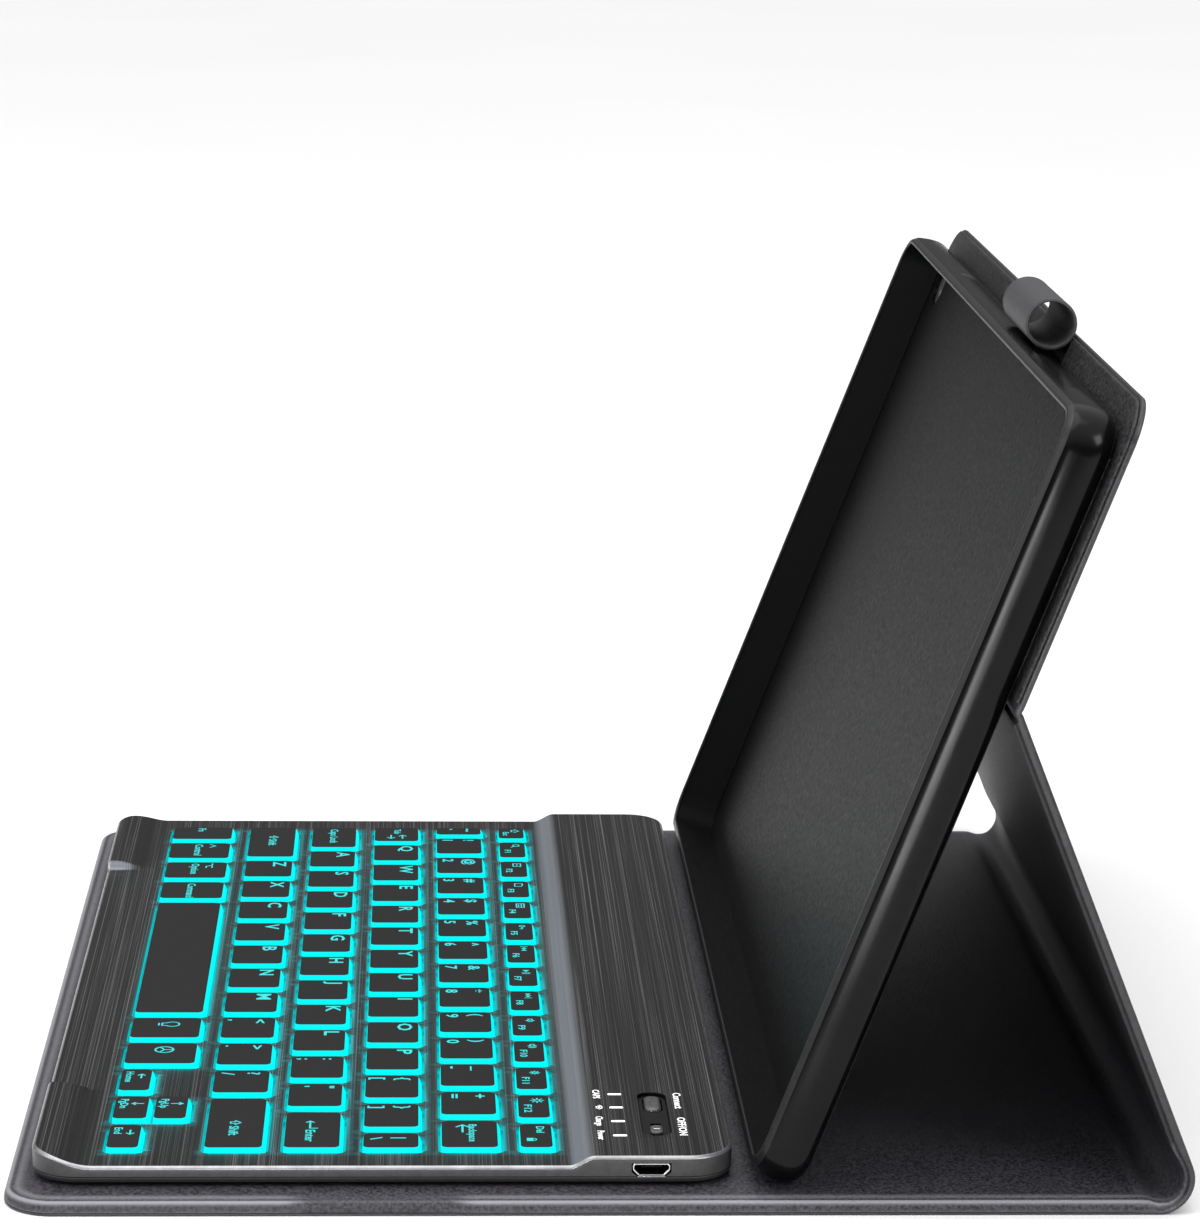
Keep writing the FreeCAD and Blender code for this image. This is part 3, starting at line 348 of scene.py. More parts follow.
# ------------------------------------------------------------------ meshes
class Build:
    """Gathers faces of one piece, in millimetres."""

    def __init__(self):
        self.v, self.f, self.m, self.a, self.t = [], [], [], [], []

    def add(self, verts, faces, mat=0, att=None, painted_shading=None):
        o = len(self.v)
        self.v += [tuple(p) for p in verts]
        self.f += [tuple(i + o for i in f) for f in faces]
        self.m += [mat] * len(faces) if isinstance(mat, int) else list(mat)
        self.a += list(att) if att else [0.0] * len(verts)
        self.t += list(painted_shading) if painted_shading else [0.0] * len(verts)

    def make(self, name, mats, body=None, replaces=(), sharp=32, weld=True, recalc=True):
        me = bpy.data.meshes.new(name)
        me.from_pydata([(x * MM, y * MM, z * MM) for x, y, z in self.v], [], self.f)
        for mt in mats:
            me.materials.append(mt)
        me.polygons.foreach_set("material_index", self.m)
        at = me.attributes.new("glow", "FLOAT", "POINT")
        at.data.foreach_set("value", self.a)
        # per-vertex painted highlight (above 0) and painted shade (below 0), read by the deck and leather finishes
        at = me.attributes.new("painted_shading", "FLOAT", "POINT")
        at.data.foreach_set("value", self.t)
        bm = bmesh.new()
        bm.from_mesh(me)
        if weld:
            bmesh.ops.remove_doubles(bm, verts=bm.verts, dist=2e-6)
        if recalc:
            bmesh.ops.recalc_face_normals(bm, faces=bm.faces)
        bm.to_mesh(me)
        bm.free()
        me.shade_smooth()
        me.set_sharp_from_angle(angle=radians(sharp))
        o = bpy.data.objects.new(name, me)
        bpy.context.scene.collection.objects.link(o)
        if body:
            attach(o, body)
        if replaces:
            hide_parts(*replaces)
        return o


def outline(x0, x1, y0, y1, R, seg=6, xs=(), ys=()):
    """A rounded rectangle, anticlockwise; R for each corner: ll, lr, ur, ul."""
    if not isinstance(R, (tuple, list)):
        R = (R, R, R, R)
    R = [max(r, 0.0) for r in R]
    pts = []

    def arc(cx, cy, r, a0):
        for k in range(seg + 1):
            a = radians(a0 + 90.0 * k / seg)
            pts.append((cx + r * cos(a), cy + r * sin(a)))
    arc(x0 + R[0], y0 + R[0], R[0], 180)
    pts += [(x, y0) for x in xs]
    arc(x1 - R[1], y0 + R[1], R[1], 270)
    pts += [(x1, y) for y in ys]
    arc(x1 - R[2], y1 - R[2], R[2], 0)
    pts += [(x, y1) for x in reversed(xs)]
    arc(x0 + R[3], y1 - R[3], R[3], 90)
    pts += [(x0, y) for y in reversed(ys)]
    return pts


def loft(b, rings, mats=0, first=False, last=False, att=None, closed=True, painted_shading=None):
    n = len(rings[0])
    verts = [p for r in rings for p in r]
    faces, fm = [], []
    for k in range(len(rings) - 1):
        for i in range(n if closed else n - 1):
            j = (i + 1) % n
            faces.append((k * n + i, k * n + j, (k + 1) * n + j, (k + 1) * n + i))
            fm.append(mats if isinstance(mats, int) else mats[k])
    if first:
        faces.append(tuple(range(n - 1, -1, -1)))
        fm.append(mats if isinstance(mats, int) else mats[0])
    if last:
        o = (len(rings) - 1) * n
        faces.append(tuple(range(o, o + n)))
        fm.append(mats if isinstance(mats, int) else mats[-1])
    b.add(verts, faces, fm, att, painted_shading)


def inside(p, loop):
    x, y = p
    c = False
    j = len(loop) - 1
    for i in range(len(loop)):
        xi, yi = loop[i]
        xj, yj = loop[j]
        if (yi > y) != (yj > y) and x < (xj - xi) * (y - yi) / (yj - yi) + xi:
            c = not c
        j = i
    return c


def fill(outer, holes, points=()):
    """Triangles between an outer loop and its holes: 2-D points and faces."""
    co, edges = [], []
    for loop in [outer] + list(holes):
        o = len(co)
        co += [Vector(p) for p in loop]
        edges += [(o + i, o + (i + 1) % len(loop)) for i in range(len(loop))]
    co += [Vector(p) for p in points]
    v, _, f, *_ = geometry.delaunay_2d_cdt(co, edges, [], 1, 1e-6)
    boxes = [(min(p[0] for p in h), max(p[0] for p in h), min(p[1] for p in h), max(p[1] for p in h), h)
             for h in holes]
    keep = []
    for t in f:
        cx = sum(v[i].x for i in t) / len(t)
        cy = sum(v[i].y for i in t) / len(t)
        if not inside((cx, cy), outer):
            continue
        if any(a < cx < b_ and c < cy < d and inside((cx, cy), h) for a, b_, c, d, h in boxes):
            continue
        a_, b2, c_ = v[t[0]], v[t[1]], v[t[2]]
        if len(t) == 3 and abs((b2.x - a_.x) * (c_.y - a_.y) - (b2.y - a_.y) * (c_.x - a_.x)) < 4e-4:
            continue
        keep.append(tuple(t))
    return [(p.x, p.y) for p in v], keep


def loose(name):
    """Boxes of the separate solids of a CAD node, in millimetres."""
    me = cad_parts[name].data
    key, ids = {}, []
    for v in me.vertices:
        k = tuple(round(c * 1e5) for c in v.co)
        ids.append(key.setdefault(k, len(key)))
    parent = list(range(len(key)))

    def root(i):
        while parent[i] != i:
            parent[i] = parent[parent[i]]
            i = parent[i]
        return i
    for p in me.polygons:
        a = root(ids[p.vertices[0]])
        for i in p.vertices[1:]:
            parent[root(ids[i])] = a
    out = {}
    for v, i in zip(me.vertices, ids):
        b = out.setdefault(root(i), [1e9, -1e9, 1e9, -1e9, 1e9, -1e9])
        for k in range(3):
            c = v.co[k] * 1000
            b[2 * k] = min(b[2 * k], c)
            b[2 * k + 1] = max(b[2 * k + 1], c)
    return sorted(out.values(), key=lambda b: (b[0], b[2]))


# ------------------------------------------------------------------ lettering
_glyphs = {}


def glyph(s):
    """Flat mesh of a word set in the built-in face at size 1."""
    if s not in _glyphs:
        cu = bpy.data.curves.new("t", "FONT")
        cu.body = s
        cu.size = 1.0
        cu.resolution_u = 2
        cu.offset = 0.02
        ob = bpy.data.objects.new("t", cu)
        bpy.context.scene.collection.objects.link(ob)
        bpy.context.view_layer.update()
        dg = bpy.context.evaluated_depsgraph_get()
        me = bpy.data.meshes.new_from_object(ob.evaluated_get(dg))
        vs = [(v.co.x, v.co.y) for v in me.vertices]
        fs = [tuple(p.vertices) for p in me.polygons]
        bpy.data.objects.remove(ob)
        bpy.data.curves.remove(cu)
        bpy.data.meshes.remove(me)
        _glyphs[s] = (vs, fs)
    return _glyphs[s]


CAPH = max(y for x, y in glyph("H")[0])


def word(b, s, x, y, h, wide=1.0, mat=0, z=0.0, align="left", turn=0.0):
    """Lays a word at x, y: h is the height of its capitals. y is its baseline."""
    vs, fs = glyph(s)
    if not vs:
        return
    k = h / CAPH
    x0, x1 = min(v[0] for v in vs), max(v[0] for v in vs)
    w = (x1 - x0) * k * wide
    off = {"left": 0.0, "mid": -w / 2, "right": -w}[align]
    out = []
    for vx, vy in vs:
        px, py = (vx - x0) * k * wide + off, vy * k
        out.append((x + px * cos(turn) - py * sin(turn), y + px * sin(turn) + py * cos(turn), z))
    b.add(out, fs, mat)
    return w


def stroke(b, pts, w, mat=0, z=0.0, closed=False):
    n = len(pts)
    for i in range(n if closed else n - 1):
        (ax, ay), (bx, by) = pts[i], pts[(i + 1) % n]
        dx, dy = bx - ax, by - ay
        d = hypot(dx, dy) or 1.0
        ux, uy = dx / d * w / 2, dy / d * w / 2
        b.add([(ax - ux + uy, ay - uy - ux, z), (bx + ux + uy, by + uy - ux, z),
               (bx + ux - uy, by + uy + ux, z), (ax - ux - uy, ay - uy + ux, z)], [(0, 1, 2, 3)], mat)


def ringpts(cx, cy, r, a0=0, a1=360, n=14, sx=1.0):
    return [(cx + sx * r * cos(radians(a0 + (a1 - a0) * k / n)), cy + r * sin(radians(a0 + (a1 - a0) * k / n)))
            for k in range(n + 1)]


def arrow(b, x, y, d, size, w, mat, z):
    """d is the way it points: l, r, u, d."""
    vx, vy = {"l": (-1, 0), "r": (1, 0), "u": (0, 1), "d": (0, -1)}[d]
    hx, hy = x + vx * size / 2, y + vy * size / 2
    stroke(b, [(x - vx * size / 2, y - vy * size / 2), (hx, hy)], w, mat, z)
    k = size * 0.28
    px, py = -vy, vx
    stroke(b, [(hx - vx * k + px * k, hy - vy * k + py * k), (hx, hy), (hx - vx * k - px * k, hy - vy * k - py * k)],
           w, mat, z)


# ------------------------------------------------------------------ keys
TOP = 8.15
ZL = TOP + 0.02


def keycap(b, x0, x1, y0, y1):
    """The cap's top sits toward the front and far sides, so its lit skirt shows at the other two."""
    steps = [(0.0, 6.2, 1.0, 1), (0.05, 6.6, 1.0, 1), (0.30, 7.5, 1.1, 1), (0.46, 7.86, 1.1, 1),
             (0.60, 8.04, 1.15, 1), (0.68, 8.10, 1.2, 0), (0.86, 8.145, 1.2, 0), (1.0, 8.15, 1.15, 0)]
    rings = []
    for d, z, r, _ in steps:
        rings.append([(x, y, z) for x, y in outline(x0 + 0.34 * d, x1 - 0.78 * d, y0 + 0.30 * d, y1 - 1.22 * d, r, 6)])
    loft(b, rings, [t[3] for t in steps[1:]], first=True, last=True)


def box_of(node_box):
    return node_box[0], node_box[1], node_box[2], node_box[3]


def on(k, fx, fy):
    """A point on a key top, given as shares of its width and depth."""
    x0, x1, y0, y1 = k
    return x0 + 0.4 + (x1 - x0 - 1.2) * fx, y0 + 0.4 + (y1 - y0 - 1.6) * fy


def letter(b, k, s):
    x, y = on(k, 0.06, 0.61)
    word(b, s, x, y, 3.15, 1.35, 2, ZL)


def pair(b, k, low, high, h=2.6, wide=1.35):
    x, y = on(k, 0.09, 0.12)
    word(b, low, x, y, h, wide, 2, ZL)
    x, y = on(k, 0.09, 0.62)
    word(b, high, x, y, h, wide, 2, ZL)


def speaker(b, x, y, s, w, z, waves=0):
    stroke(b, [(x - s, y - s * 0.4), (x - s * 0.4, y - s * 0.4), (x + s * 0.2, y - s * 0.9), (x + s * 0.2, y + s * 0.9),
               (x - s * 0.4, y + s * 0.4), (x - s, y + s * 0.4)], w, 2, z, True)
    for i in range(waves):
        stroke(b, ringpts(x + s * 0.2, y, s * (0.7 + 0.5 * i), -40, 40, 5), w, 2, z)


def sun(b, x, y, s, w, z):
    stroke(b, ringpts(x, y, s * 0.45, n=10), w, 2, z)
    for i in range(8):
        a = radians(45 * i)
        stroke(b, [(x + s * 0.72 * cos(a), y + s * 0.72 * sin(a)), (x + s * cos(a), y + s * sin(a))], w, 2, z)


def play(b, x, y, s, flip=1):
    b.add([(x - flip * s, y - s, ZL), (x + flip * s * 0.7, y, ZL), (x - flip * s, y + s, ZL)], [(0, 1, 2)], 2)


def f_icon(b, i, x, y):
    w = 0.3
    s = 1.0
    if i == 0:
        stroke(b, ringpts(x - 0.2, y + 0.2, 0.75, n=12, sx=1.2), w, 2, ZL)
        stroke(b, [(x + 0.5, y - 0.4), (x + 1.3, y - 1.0)], w, 2, ZL)
    elif i == 1:
        stroke(b, [(x - 1.3, y - 0.9), (x + 1.3, y - 0.9), (x + 1.3, y + 0.9), (x - 1.3, y + 0.9)], w, 2, ZL, True)
        stroke(b, [(x - 0.5, y), (x + 0.5, y)], w, 2, ZL)
    elif i == 2:
        stroke(b, [(x - 1.2, y - 0.9), (x + 1.2, y - 0.9), (x + 1.2, y + 0.5), (x + 0.6, y + 0.9), (x - 1.2, y + 0.9)],
               w, 2, ZL, True)
    elif i == 3:
        stroke(b, [(x - 1.6, y - 0.9), (x + 1.6, y - 0.9), (x + 1.6, y + 0.9), (x - 1.6, y + 0.9)], w, 2, ZL, True)
        for k in range(-2, 3):
            stroke(b, [(x + k * 0.55 - 0.1, y + 0.25), (x + k * 0.55 + 0.1, y + 0.25)], w, 2, ZL)
        stroke(b, [(x - 0.8, y - 0.4), (x + 0.8, y - 0.4)], w, 2, ZL)
    elif i == 4:
        stroke(b, ringpts(x - 0.6, y, 0.6, n=10), w, 2, ZL)
        stroke(b, [(x, y), (x + 1.6, y), (x + 1.6, y - 0.5)], w, 2, ZL)
    elif i == 5:
        play(b, x - 0.8, y, 0.7, -1)
        play(b, x + 0.6, y, 0.7, -1)
        stroke(b, [(x - 1.8, y - 0.7), (x - 1.8, y + 0.7)], w, 2, ZL)
    elif i == 6:
        play(b, x - 0.6, y, 0.8)
        stroke(b, [(x + 0.6, y - 0.8), (x + 0.6, y + 0.8)], w, 2, ZL)
        stroke(b, [(x + 1.3, y - 0.8), (x + 1.3, y + 0.8)], w, 2, ZL)
    elif i == 7:
        play(b, x - 0.8, y, 0.7)
        play(b, x + 0.6, y, 0.7)
        stroke(b, [(x + 1.6, y - 0.7), (x + 1.6, y + 0.7)], w, 2, ZL)
    elif i == 8:
        speaker(b, x, y, 0.95, w, ZL, 1)
    elif i == 9:
        speaker(b, x - 0.2, y, 0.95, w, ZL, 2)
    elif i == 10:
        sun(b, x, y, 0.95, w, ZL)
    else:
        sun(b, x, y, 1.3, w, ZL)


def shift_arrow(b, x, y, s, w):
    stroke(b, [(x - s * 0.35, y - s * 0.7), (x + s * 0.35, y - s * 0.7), (x + s * 0.35, y), (x + s * 0.85, y),
               (x, y + s * 0.8), (x - s * 0.85, y), (x - s * 0.35, y)], w, 2, ZL, True)


def mark(b, name, k, i):
    x0, x1, y0, y1 = k
    if name == "keys_number_row":
        pair(b, k, "`1234567890-="[i], "~!@#$%^&*()_+"[i])
    elif name == "keys_qwerty_row":
        if i < 10:
            letter(b, k, "QWERTYUIOP"[i])
        else:
            pair(b, k, "[]"[i - 10], "{}"[i - 10])
    elif name == "keys_home_row":
        if i < 9:
            letter(b, k, "ASDFGHJKL"[i])
        else:
            pair(b, k, ";'"[i - 9], ":\""[i - 9])
    elif name == "keys_lower_row":
        if i < 7:
            letter(b, k, "ZXCVBNM"[i])
        else:
            pair(b, k, ",./"[i - 7], "<>?"[i - 7])
    elif name == "keys_function_row":
        x, y = on(k, 0.62, 0.18)
        word(b, "F%d" % (i + 1), x, y, 1.55, 1.5, 2, ZL, "mid")
        x, y = on(k, 0.24, 0.66)
        f_icon(b, i, x, y)
    elif name == "key_escape":
        x, y = on(k, 0.60, 0.16)
        word(b, "Esc", x, y, 1.5, 1.2, 2, ZL, "mid")
        x, y = on(k, 0.30, 0.68)
        stroke(b, [(x - 0.8, y - 0.8), (x + 0.8, y - 0.8), (x + 0.8, y + 0.1), (x + 1.3, y + 0.1), (x, y + 1.1),
                   (x - 1.3, y + 0.1), (x - 0.8, y + 0.1)], 0.28, 2, ZL, True)
    elif name == "key_delete":
        x, y = on(k, 0.25, 0.55)
        word(b, "Del", x, y, 1.6, 1.2, 2, ZL, "mid")
        x, y = on(k, 0.70, 0.38)
        b.add([(x - 0.9, y - 1.1, ZL), (x + 0.9, y - 1.1, ZL), (x + 0.9, y + 0.2, ZL), (x - 0.9, y + 0.2, ZL)],
              [(0, 1, 2, 3)], 2)
        stroke(b, ringpts(x, y + 0.2, 0.6, 0, 180, 8), 0.28, 2, ZL)
    elif name == "key_backslash":
        x, y = on(k, 0.28, 0.12)
        word(b, "\\", x, y, 2.3, 1.5, 2, ZL)
        x, y = on(k, 0.32, 0.58)
        word(b, "|", x, y, 2.3, 1.3, 2, ZL)
    elif name == "key_backspace":
        x, y = on(k, 0.48, 0.50)
        word(b, "Backspace", x, y, 1.6, 1.08, 2, ZL, "mid")
        x, y = on(k, 0.30, 0.38)
        arrow(b, x, y, "l", 4.2, 0.42, 2, ZL)
    elif name == "key_tab":
        x, y = on(k, 0.30, 0.46)
        word(b, "Tab", x, y, 1.6, 1.2, 2, ZL, "mid")
        x, y = on(k, 0.72, 0.66)
        arrow(b, x, y, "l", 3.0, 0.38, 2, ZL)
        x, y = on(k, 0.72, 0.38)
        arrow(b, x, y, "r", 3.0, 0.38, 2, ZL)
    elif name == "key_caps_lock":
        x, y = on(k, 0.46, 0.42)
        word(b, "Caps Lock", x, y, 1.9, 1.1, 2, ZL, "mid")
    elif name == "key_shift_left":
        x, y = on(k, 0.42, 0.44)
        word(b, "Shift", x, y, 1.9, 1.15, 2, ZL)
        shift_arrow(b, x - 2.0, y + 1.1, 1.35, 0.32)
    elif name == "key_shift_right":
        x, y = on(k, 0.58, 0.40)
        word(b, "Shift", x, y, 1.9, 1.15, 2, ZL)
        shift_arrow(b, x - 2.0, y + 1.1, 1.35, 0.32)
    elif name == "key_enter":
        x, y = on(k, 0.52, 0.38)
        word(b, "Enter", x, y, 1.9, 1.15, 2, ZL)
        stroke(b, [(x - 1.0, y + 2.2), (x - 1.0, y + 0.8), (x - 4.6, y + 0.8)], 0.4, 2, ZL)
        arrow(b, x - 4.0, y + 0.8, "l", 2.4, 0.4, 2, ZL)
    elif name in ("key_fn", "key_control", "key_option", "key_command"):
        x, y = on(k, 0.10, 0.42)
        word(b, {"key_fn": "Fn", "key_control": "Control", "key_option": "Option",
                 "key_command": "Command"}[name], x, y, 1.9, 1.05 if name == "key_command" else 1.15, 2, ZL)
        if name == "key_option":
            stroke(b, [(x, y + 5.0), (x + 1.2, y + 5.0), (x + 2.2, y + 3.6), (x + 3.4, y + 3.6)], 0.34, 2, ZL)
            stroke(b, [(x + 2.1, y + 5.0), (x + 3.4, y + 5.0)], 0.34, 2, ZL)
        if name == "key_control":
            stroke(b, [(x, y + 3.7), (x + 1.3, y + 5.0), (x + 2.6, y + 3.7)], 0.34, 2, ZL)
    elif name == "key_light":
        x, y = on(k, 0.34, 0.55)
        stroke(b, ringpts(x, y + 0.7, 1.5, -50, 230, 14), 0.36, 2, ZL)
        stroke(b, [(x - 0.9, y - 0.7), (x - 0.8, y - 1.5), (x + 0.8, y - 1.5), (x + 0.9, y - 0.7)], 0.36, 2, ZL)
        stroke(b, [(x - 0.6, y - 2.2), (x + 0.6, y - 2.2)], 0.36, 2, ZL)
    elif name == "key_colour":
        x, y = on(k, 0.34, 0.55)
        stroke(b, ringpts(x, y, 1.9, n=18), 0.42, 2, ZL)
        for a in (90, 210, 330):
            stroke(b, [(x, y), (x + 1.9 * cos(radians(a)), y + 1.9 * sin(radians(a)))], 0.36, 2, ZL)
    elif name in ("key_home", "key_end", "key_page_down", "key_page_up"):
        x, y = on(k, 0.12, 0.14)
        word(b, {"key_home": "Home", "key_end": "End", "key_page_down": "PgDn", "key_page_up": "PgUp"}[name],
             x, y, 1.6, 1.15, 2, ZL)
        x, y = on(k, 0.34, 0.72)
        arrow(b, x, y, {"key_home": "l", "key_end": "r", "key_page_down": "d", "key_page_up": "u"}[name],
              2.4 if name in ("key_home", "key_end") else 2.2, 0.36, 2, ZL)


key_nodes = [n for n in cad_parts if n.startswith("key_") and n not in ("key_backplate", "key_membrane")
             or n.startswith("keys_")]
openings = []
for name in sorted(key_nodes):
    b = Build()
    for i, bx in enumerate(loose(name)):
        k = box_of(bx)
        keycap(b, *k)
        mark(b, name, k, i)
        if name == "key_page_up":
            continue
        x0, x1, y0, y1 = k
        if name == "key_page_down":
            openings.append((x0 - 0.5, x1 + 0.5, y0 - 0.5, -80.8))
        else:
            openings.append((x0 - 0.5, x1 + 0.5, y0 - 0.5, y1 + 0.5))
    b.make(name + "_lit", [M["cap"], M["glow"], M["legend"]], name, [name], 40, weld=False)

# ------------------------------------------------------------------ keyboard deck
KW, KF, KR, KC = 128.0, -111.0, 26.5, 9.0
LOW, HIGH = 7.2, 9.2


def deck_z(x, y):
    z = LOW + (HIGH - LOW) * smooth(-5.9, -0.9, y)
    side = smooth(81.2, 83.0, abs(x))
    ramp = 1.0 - smooth(KF + 1.6, KF + 12.2, y)
    corner = smooth(81.0, 85.0, abs(x)) if y > KF + 8 else side
    return z + (HIGH - LOW) * min(side, corner) * ramp


def glow_at(x, y):
    """Light spilt on the deck: most beside the near and rear edges of an opening."""
    g = 0.0
    for a, b_, c, d in openings:
        dx = max(a - x, 0, x - b_)
        dy = max(c - y, 0, y - d)
        r = hypot(dx, dy)
        if r < 4:
            way = 1.0 if (x > b_ or y > d) else 0.12
            g = max(g, way * exp(-r / 0.42))
    return g


def painted_shading_at(x, y):
    """Painted highlight where the deck faces front, painted shade where it falls away to the rear, and a painted
    highlight on the +X-facing end of the front bump at -X.
    """
    e = 0.3
    sy_ = (deck_z(x, y + e) - deck_z(x, y - e)) / (2 * e)
    sx_ = (deck_z(x + e, y) - deck_z(x - e, y)) / (2 * e)
    t = 1.25 * sy_ if sy_ > 0 else 3.2 * sy_
    if sy_ < 0:
        t *= smooth(KF + 4.0, KF + 8.0, y)
    t = min(0.62, max(-0.95, t))
    if sx_ < -0.05 and y < KF + 8:
        t = max(t, min(0.55, -0.55 * sx_) * (1 - smooth(KF + 3.0, KF + 8.0, y)))
    return t


side_y = sorted(set([KF + 9 + 0.75 * i for i in range(0, 8)] + [KF + 16] + [-80, -60, -40, -20, -9]
                    + [-6.2 + 0.4 * i for i in range(15)] + [2, 5.9, 6.3, 14.1, 14.5]))
side_y = [y for y in side_y if KF + KC + 0.01 < y < KR - KC - 0.01]
side_x = sorted(set([s * v for s in (1, -1) for v in (80.5, 81.2, 81.6, 82.0, 82.4, 82.8, 83.2, 84, 86, 100, 60, 40, 20)] + [0]))


def deck_ring(d, z):
    """z is a number, or a drop below the deck."""
    pts = outline(-KW + d, KW - d, KF + d, KR - d, KC - d, 10, side_x, side_y)
    return [(x, y, z[0] if isinstance(z, tuple) else deck_z(x, y) - z) for x, y in pts]


b = Build()
rings = [deck_ring(1.6, (5.02,)), deck_ring(0.3, (5.02,)), deck_ring(0.06, (5.06,)), deck_ring(0.0, (5.16,)),
         deck_ring(0.0, 1.35), deck_ring(0.0, 0.62), deck_ring(0.05, 0.5), deck_ring(0.2, 0.34), deck_ring(0.48, 0.08),
         deck_ring(0.62, 0.01), deck_ring(0.72, 0.0), deck_ring(1.3, 0.0)]
mats = [1, 1, 1, 1, 1, 2, 2, 2, 2, 0, 0]
nr = len(rings[0])
verts = [p for r in rings for p in r]
faces, fm = [], []
for k in range(len(rings) - 1):
    for i in range(nr):
        j = (i + 1) % nr
        pa, pb = rings[k][i], rings[k][j]
        # the charging port's plate stands here
        if pa[0] > KW - 0.01 and 6.2 < pa[1] < 14.2 and 6.2 < pb[1] < 14.2 and k in (3,):
            continue
        faces.append((k * nr + i, k * nr + j, (k + 1) * nr + j, (k + 1) * nr + i))
        fm.append(mats[k])
b.add(verts, faces, fm, None, [painted_shading_at(p[0], p[1]) for p in verts])


def grow(loop_box, d, r, seg=4):
    a, b_, c, e = loop_box
    return outline(a - d, b_ + d, c - d, e + d, r + d, seg)


inner_edge = [(p[0], p[1]) for p in rings[-1]]
recess = (102.6 - 13, 102.6 + 13, 12.1 - 2.8, 12.1 + 2.8)
lamps = [(lx - 0.5, lx + 0.5, 4.6 - 1.45, 4.6 + 1.45) for lx in (90.8, 98.9, 107.2, 115.6)]
holes, hole_loops = [], []
for bx in openings:
    holes.append(grow(bx, 0.08, 1.55))
for bx in lamps:
    holes.append(grow(bx, 0.04, 0.4, 3))
holes.append(grow(recess, 0.3, 2.4, 8))
pts = []
for bx in openings:
    for d in (0.6, 1.1, 1.9):
        a, b_, c, e = bx
        n = max(4, int((b_ - a) / 2.5))
        m_ = max(4, int((e - c) / 2.5))
        cand = [(a - d + (b_ - a + 2 * d) * i / n, s) for i in range(n + 1) for s in (c - d, e + d)]
        cand += [(s, c - d + (e - c + 2 * d) * i / m_) for i in range(1, m_) for s in (a - d, b_ + d)]
        for x, y in cand:
            if any(o[0] - 0.3 < x < o[1] + 0.3 and o[2] - 0.3 < y < o[3] + 0.3 for o in openings):
                continue
            if abs(x) < KW - 2.1 and KF + 2.1 < y < KR - 2.1:
                pts.append((x, y))
for sx in (-1, 1):
    for i in range(19):
        for j in range(24):
            x, y = sx * (80.8 + (0.4 * i if i < 8 else 3.2 + (i - 8) * 4.1)), KF + 1.2 + 0.55 * j
            if abs(x) > KW - 1.9 or y < KF + 1.9 or (hypot(abs(x) - (KW - KC), y - (KF + KC)) > KC - 1.9 and abs(x) > KW - KC and y < KF + KC):
                continue
            pts.append((x, y))
for i in range(125):
    for j in range(18):
        pts.append((-124 + 2.0 * i + 0.8 * (j % 2), -6.7 + 0.42 * j))
for i in range(50):
    for j in range(5):
        pts.append((-122 + 4.9 * i, 2.0 + j * 4.6))
clean = []
for x, y in pts:
    if any(o[0] - 0.25 < x < o[1] + 0.25 and o[2] - 0.25 < y < o[3] + 0.25 for o in openings + lamps + [recess]):
        continue
    clean.append((x, y))
v2, tris = fill(inner_edge, holes, clean)
b.add([(x, y, deck_z(x, y)) for x, y in v2], tris, 0, [glow_at(x, y) for x, y in v2], [painted_shading_at(x, y) for x, y in v2])
for bx in openings:
    rr_ = []
    for d, drop, r in ((0.08, 0.0, 1.55), (0.0, 0.08, 1.55), (0.0, 0.9, 1.55)):
        rr_.append([(x, y, deck_z(x, y) - drop) for x, y in grow(bx, d, r)])
    n = len(rr_[0])
    loft(b, rr_, [0, 0], att=[0.25] * n + [0.5] * n + [1.0] * n)
for bx in lamps:
    rr_ = [[(x, y, HIGH - drop) for x, y in grow(bx, d, 0.4, 3)] for d, drop in ((0.04, 0.0), (0.0, 0.05), (0.0, 0.8))]
    loft(b, rr_, [3, 3])
rr_ = [[(x, y, HIGH - drop) for x, y in grow(recess, d, 2.4, 8)] for d, drop in ((0.3, 0.0), (0.12, 0.05), (0.0, 0.2), (0.0, 0.9))]
loft(b, rr_, [0, 3, 3])

# charging port: a plate in the right-hand wall, a D-shaped opening and its rim
PY, PZ = 10.2, 6.5


def port_loop(w, h, dx, c=0.0, seg=3):
    """The port's outline: wide above, its lower corners cut away."""
    hw, hh = w / 2, h / 2
    pts_ = [(-hw + 1.05 + c, -hh), (hw - 1.05 - c, -hh), (hw - 0.25, -hh + 0.85), (hw, -hh + 1.2), (hw, hh - 0.35),
            (hw - 0.3, hh), (-hw + 0.3, hh), (-hw, hh - 0.35), (-hw, -hh + 1.2), (-hw + 0.25, -hh + 0.85)]
    return [(KW - dx, PY + y, PZ + z) for y, z in pts_]


plate_ring = [(y, z) for y, z in [(6.3, 5.16), (14.1, 5.16), (14.1, HIGH - 1.35), (6.3, HIGH - 1.35)]]
hole = [(p[1], p[2]) for p in port_loop(7.9, 3.0, 0)]
hole = [(y, max(z, 5.2)) for y, z in hole]
pv, pf = fill(plate_ring, [hole])
b.add([(KW, y, z) for y, z in pv], pf, 1)
loft(b, [[(KW, y, z) for y, z in hole], [(KW - 0.25, y, z) for y, z in hole], [(KW - 6.2, y, z) for y, z in hole]], 3, last=True)
deck = b.make("keyboard_deck", [M["deck"], M["side"], M["silver"], M["control"]], "keyboard",
              ["keyboard_top_case"], 28)

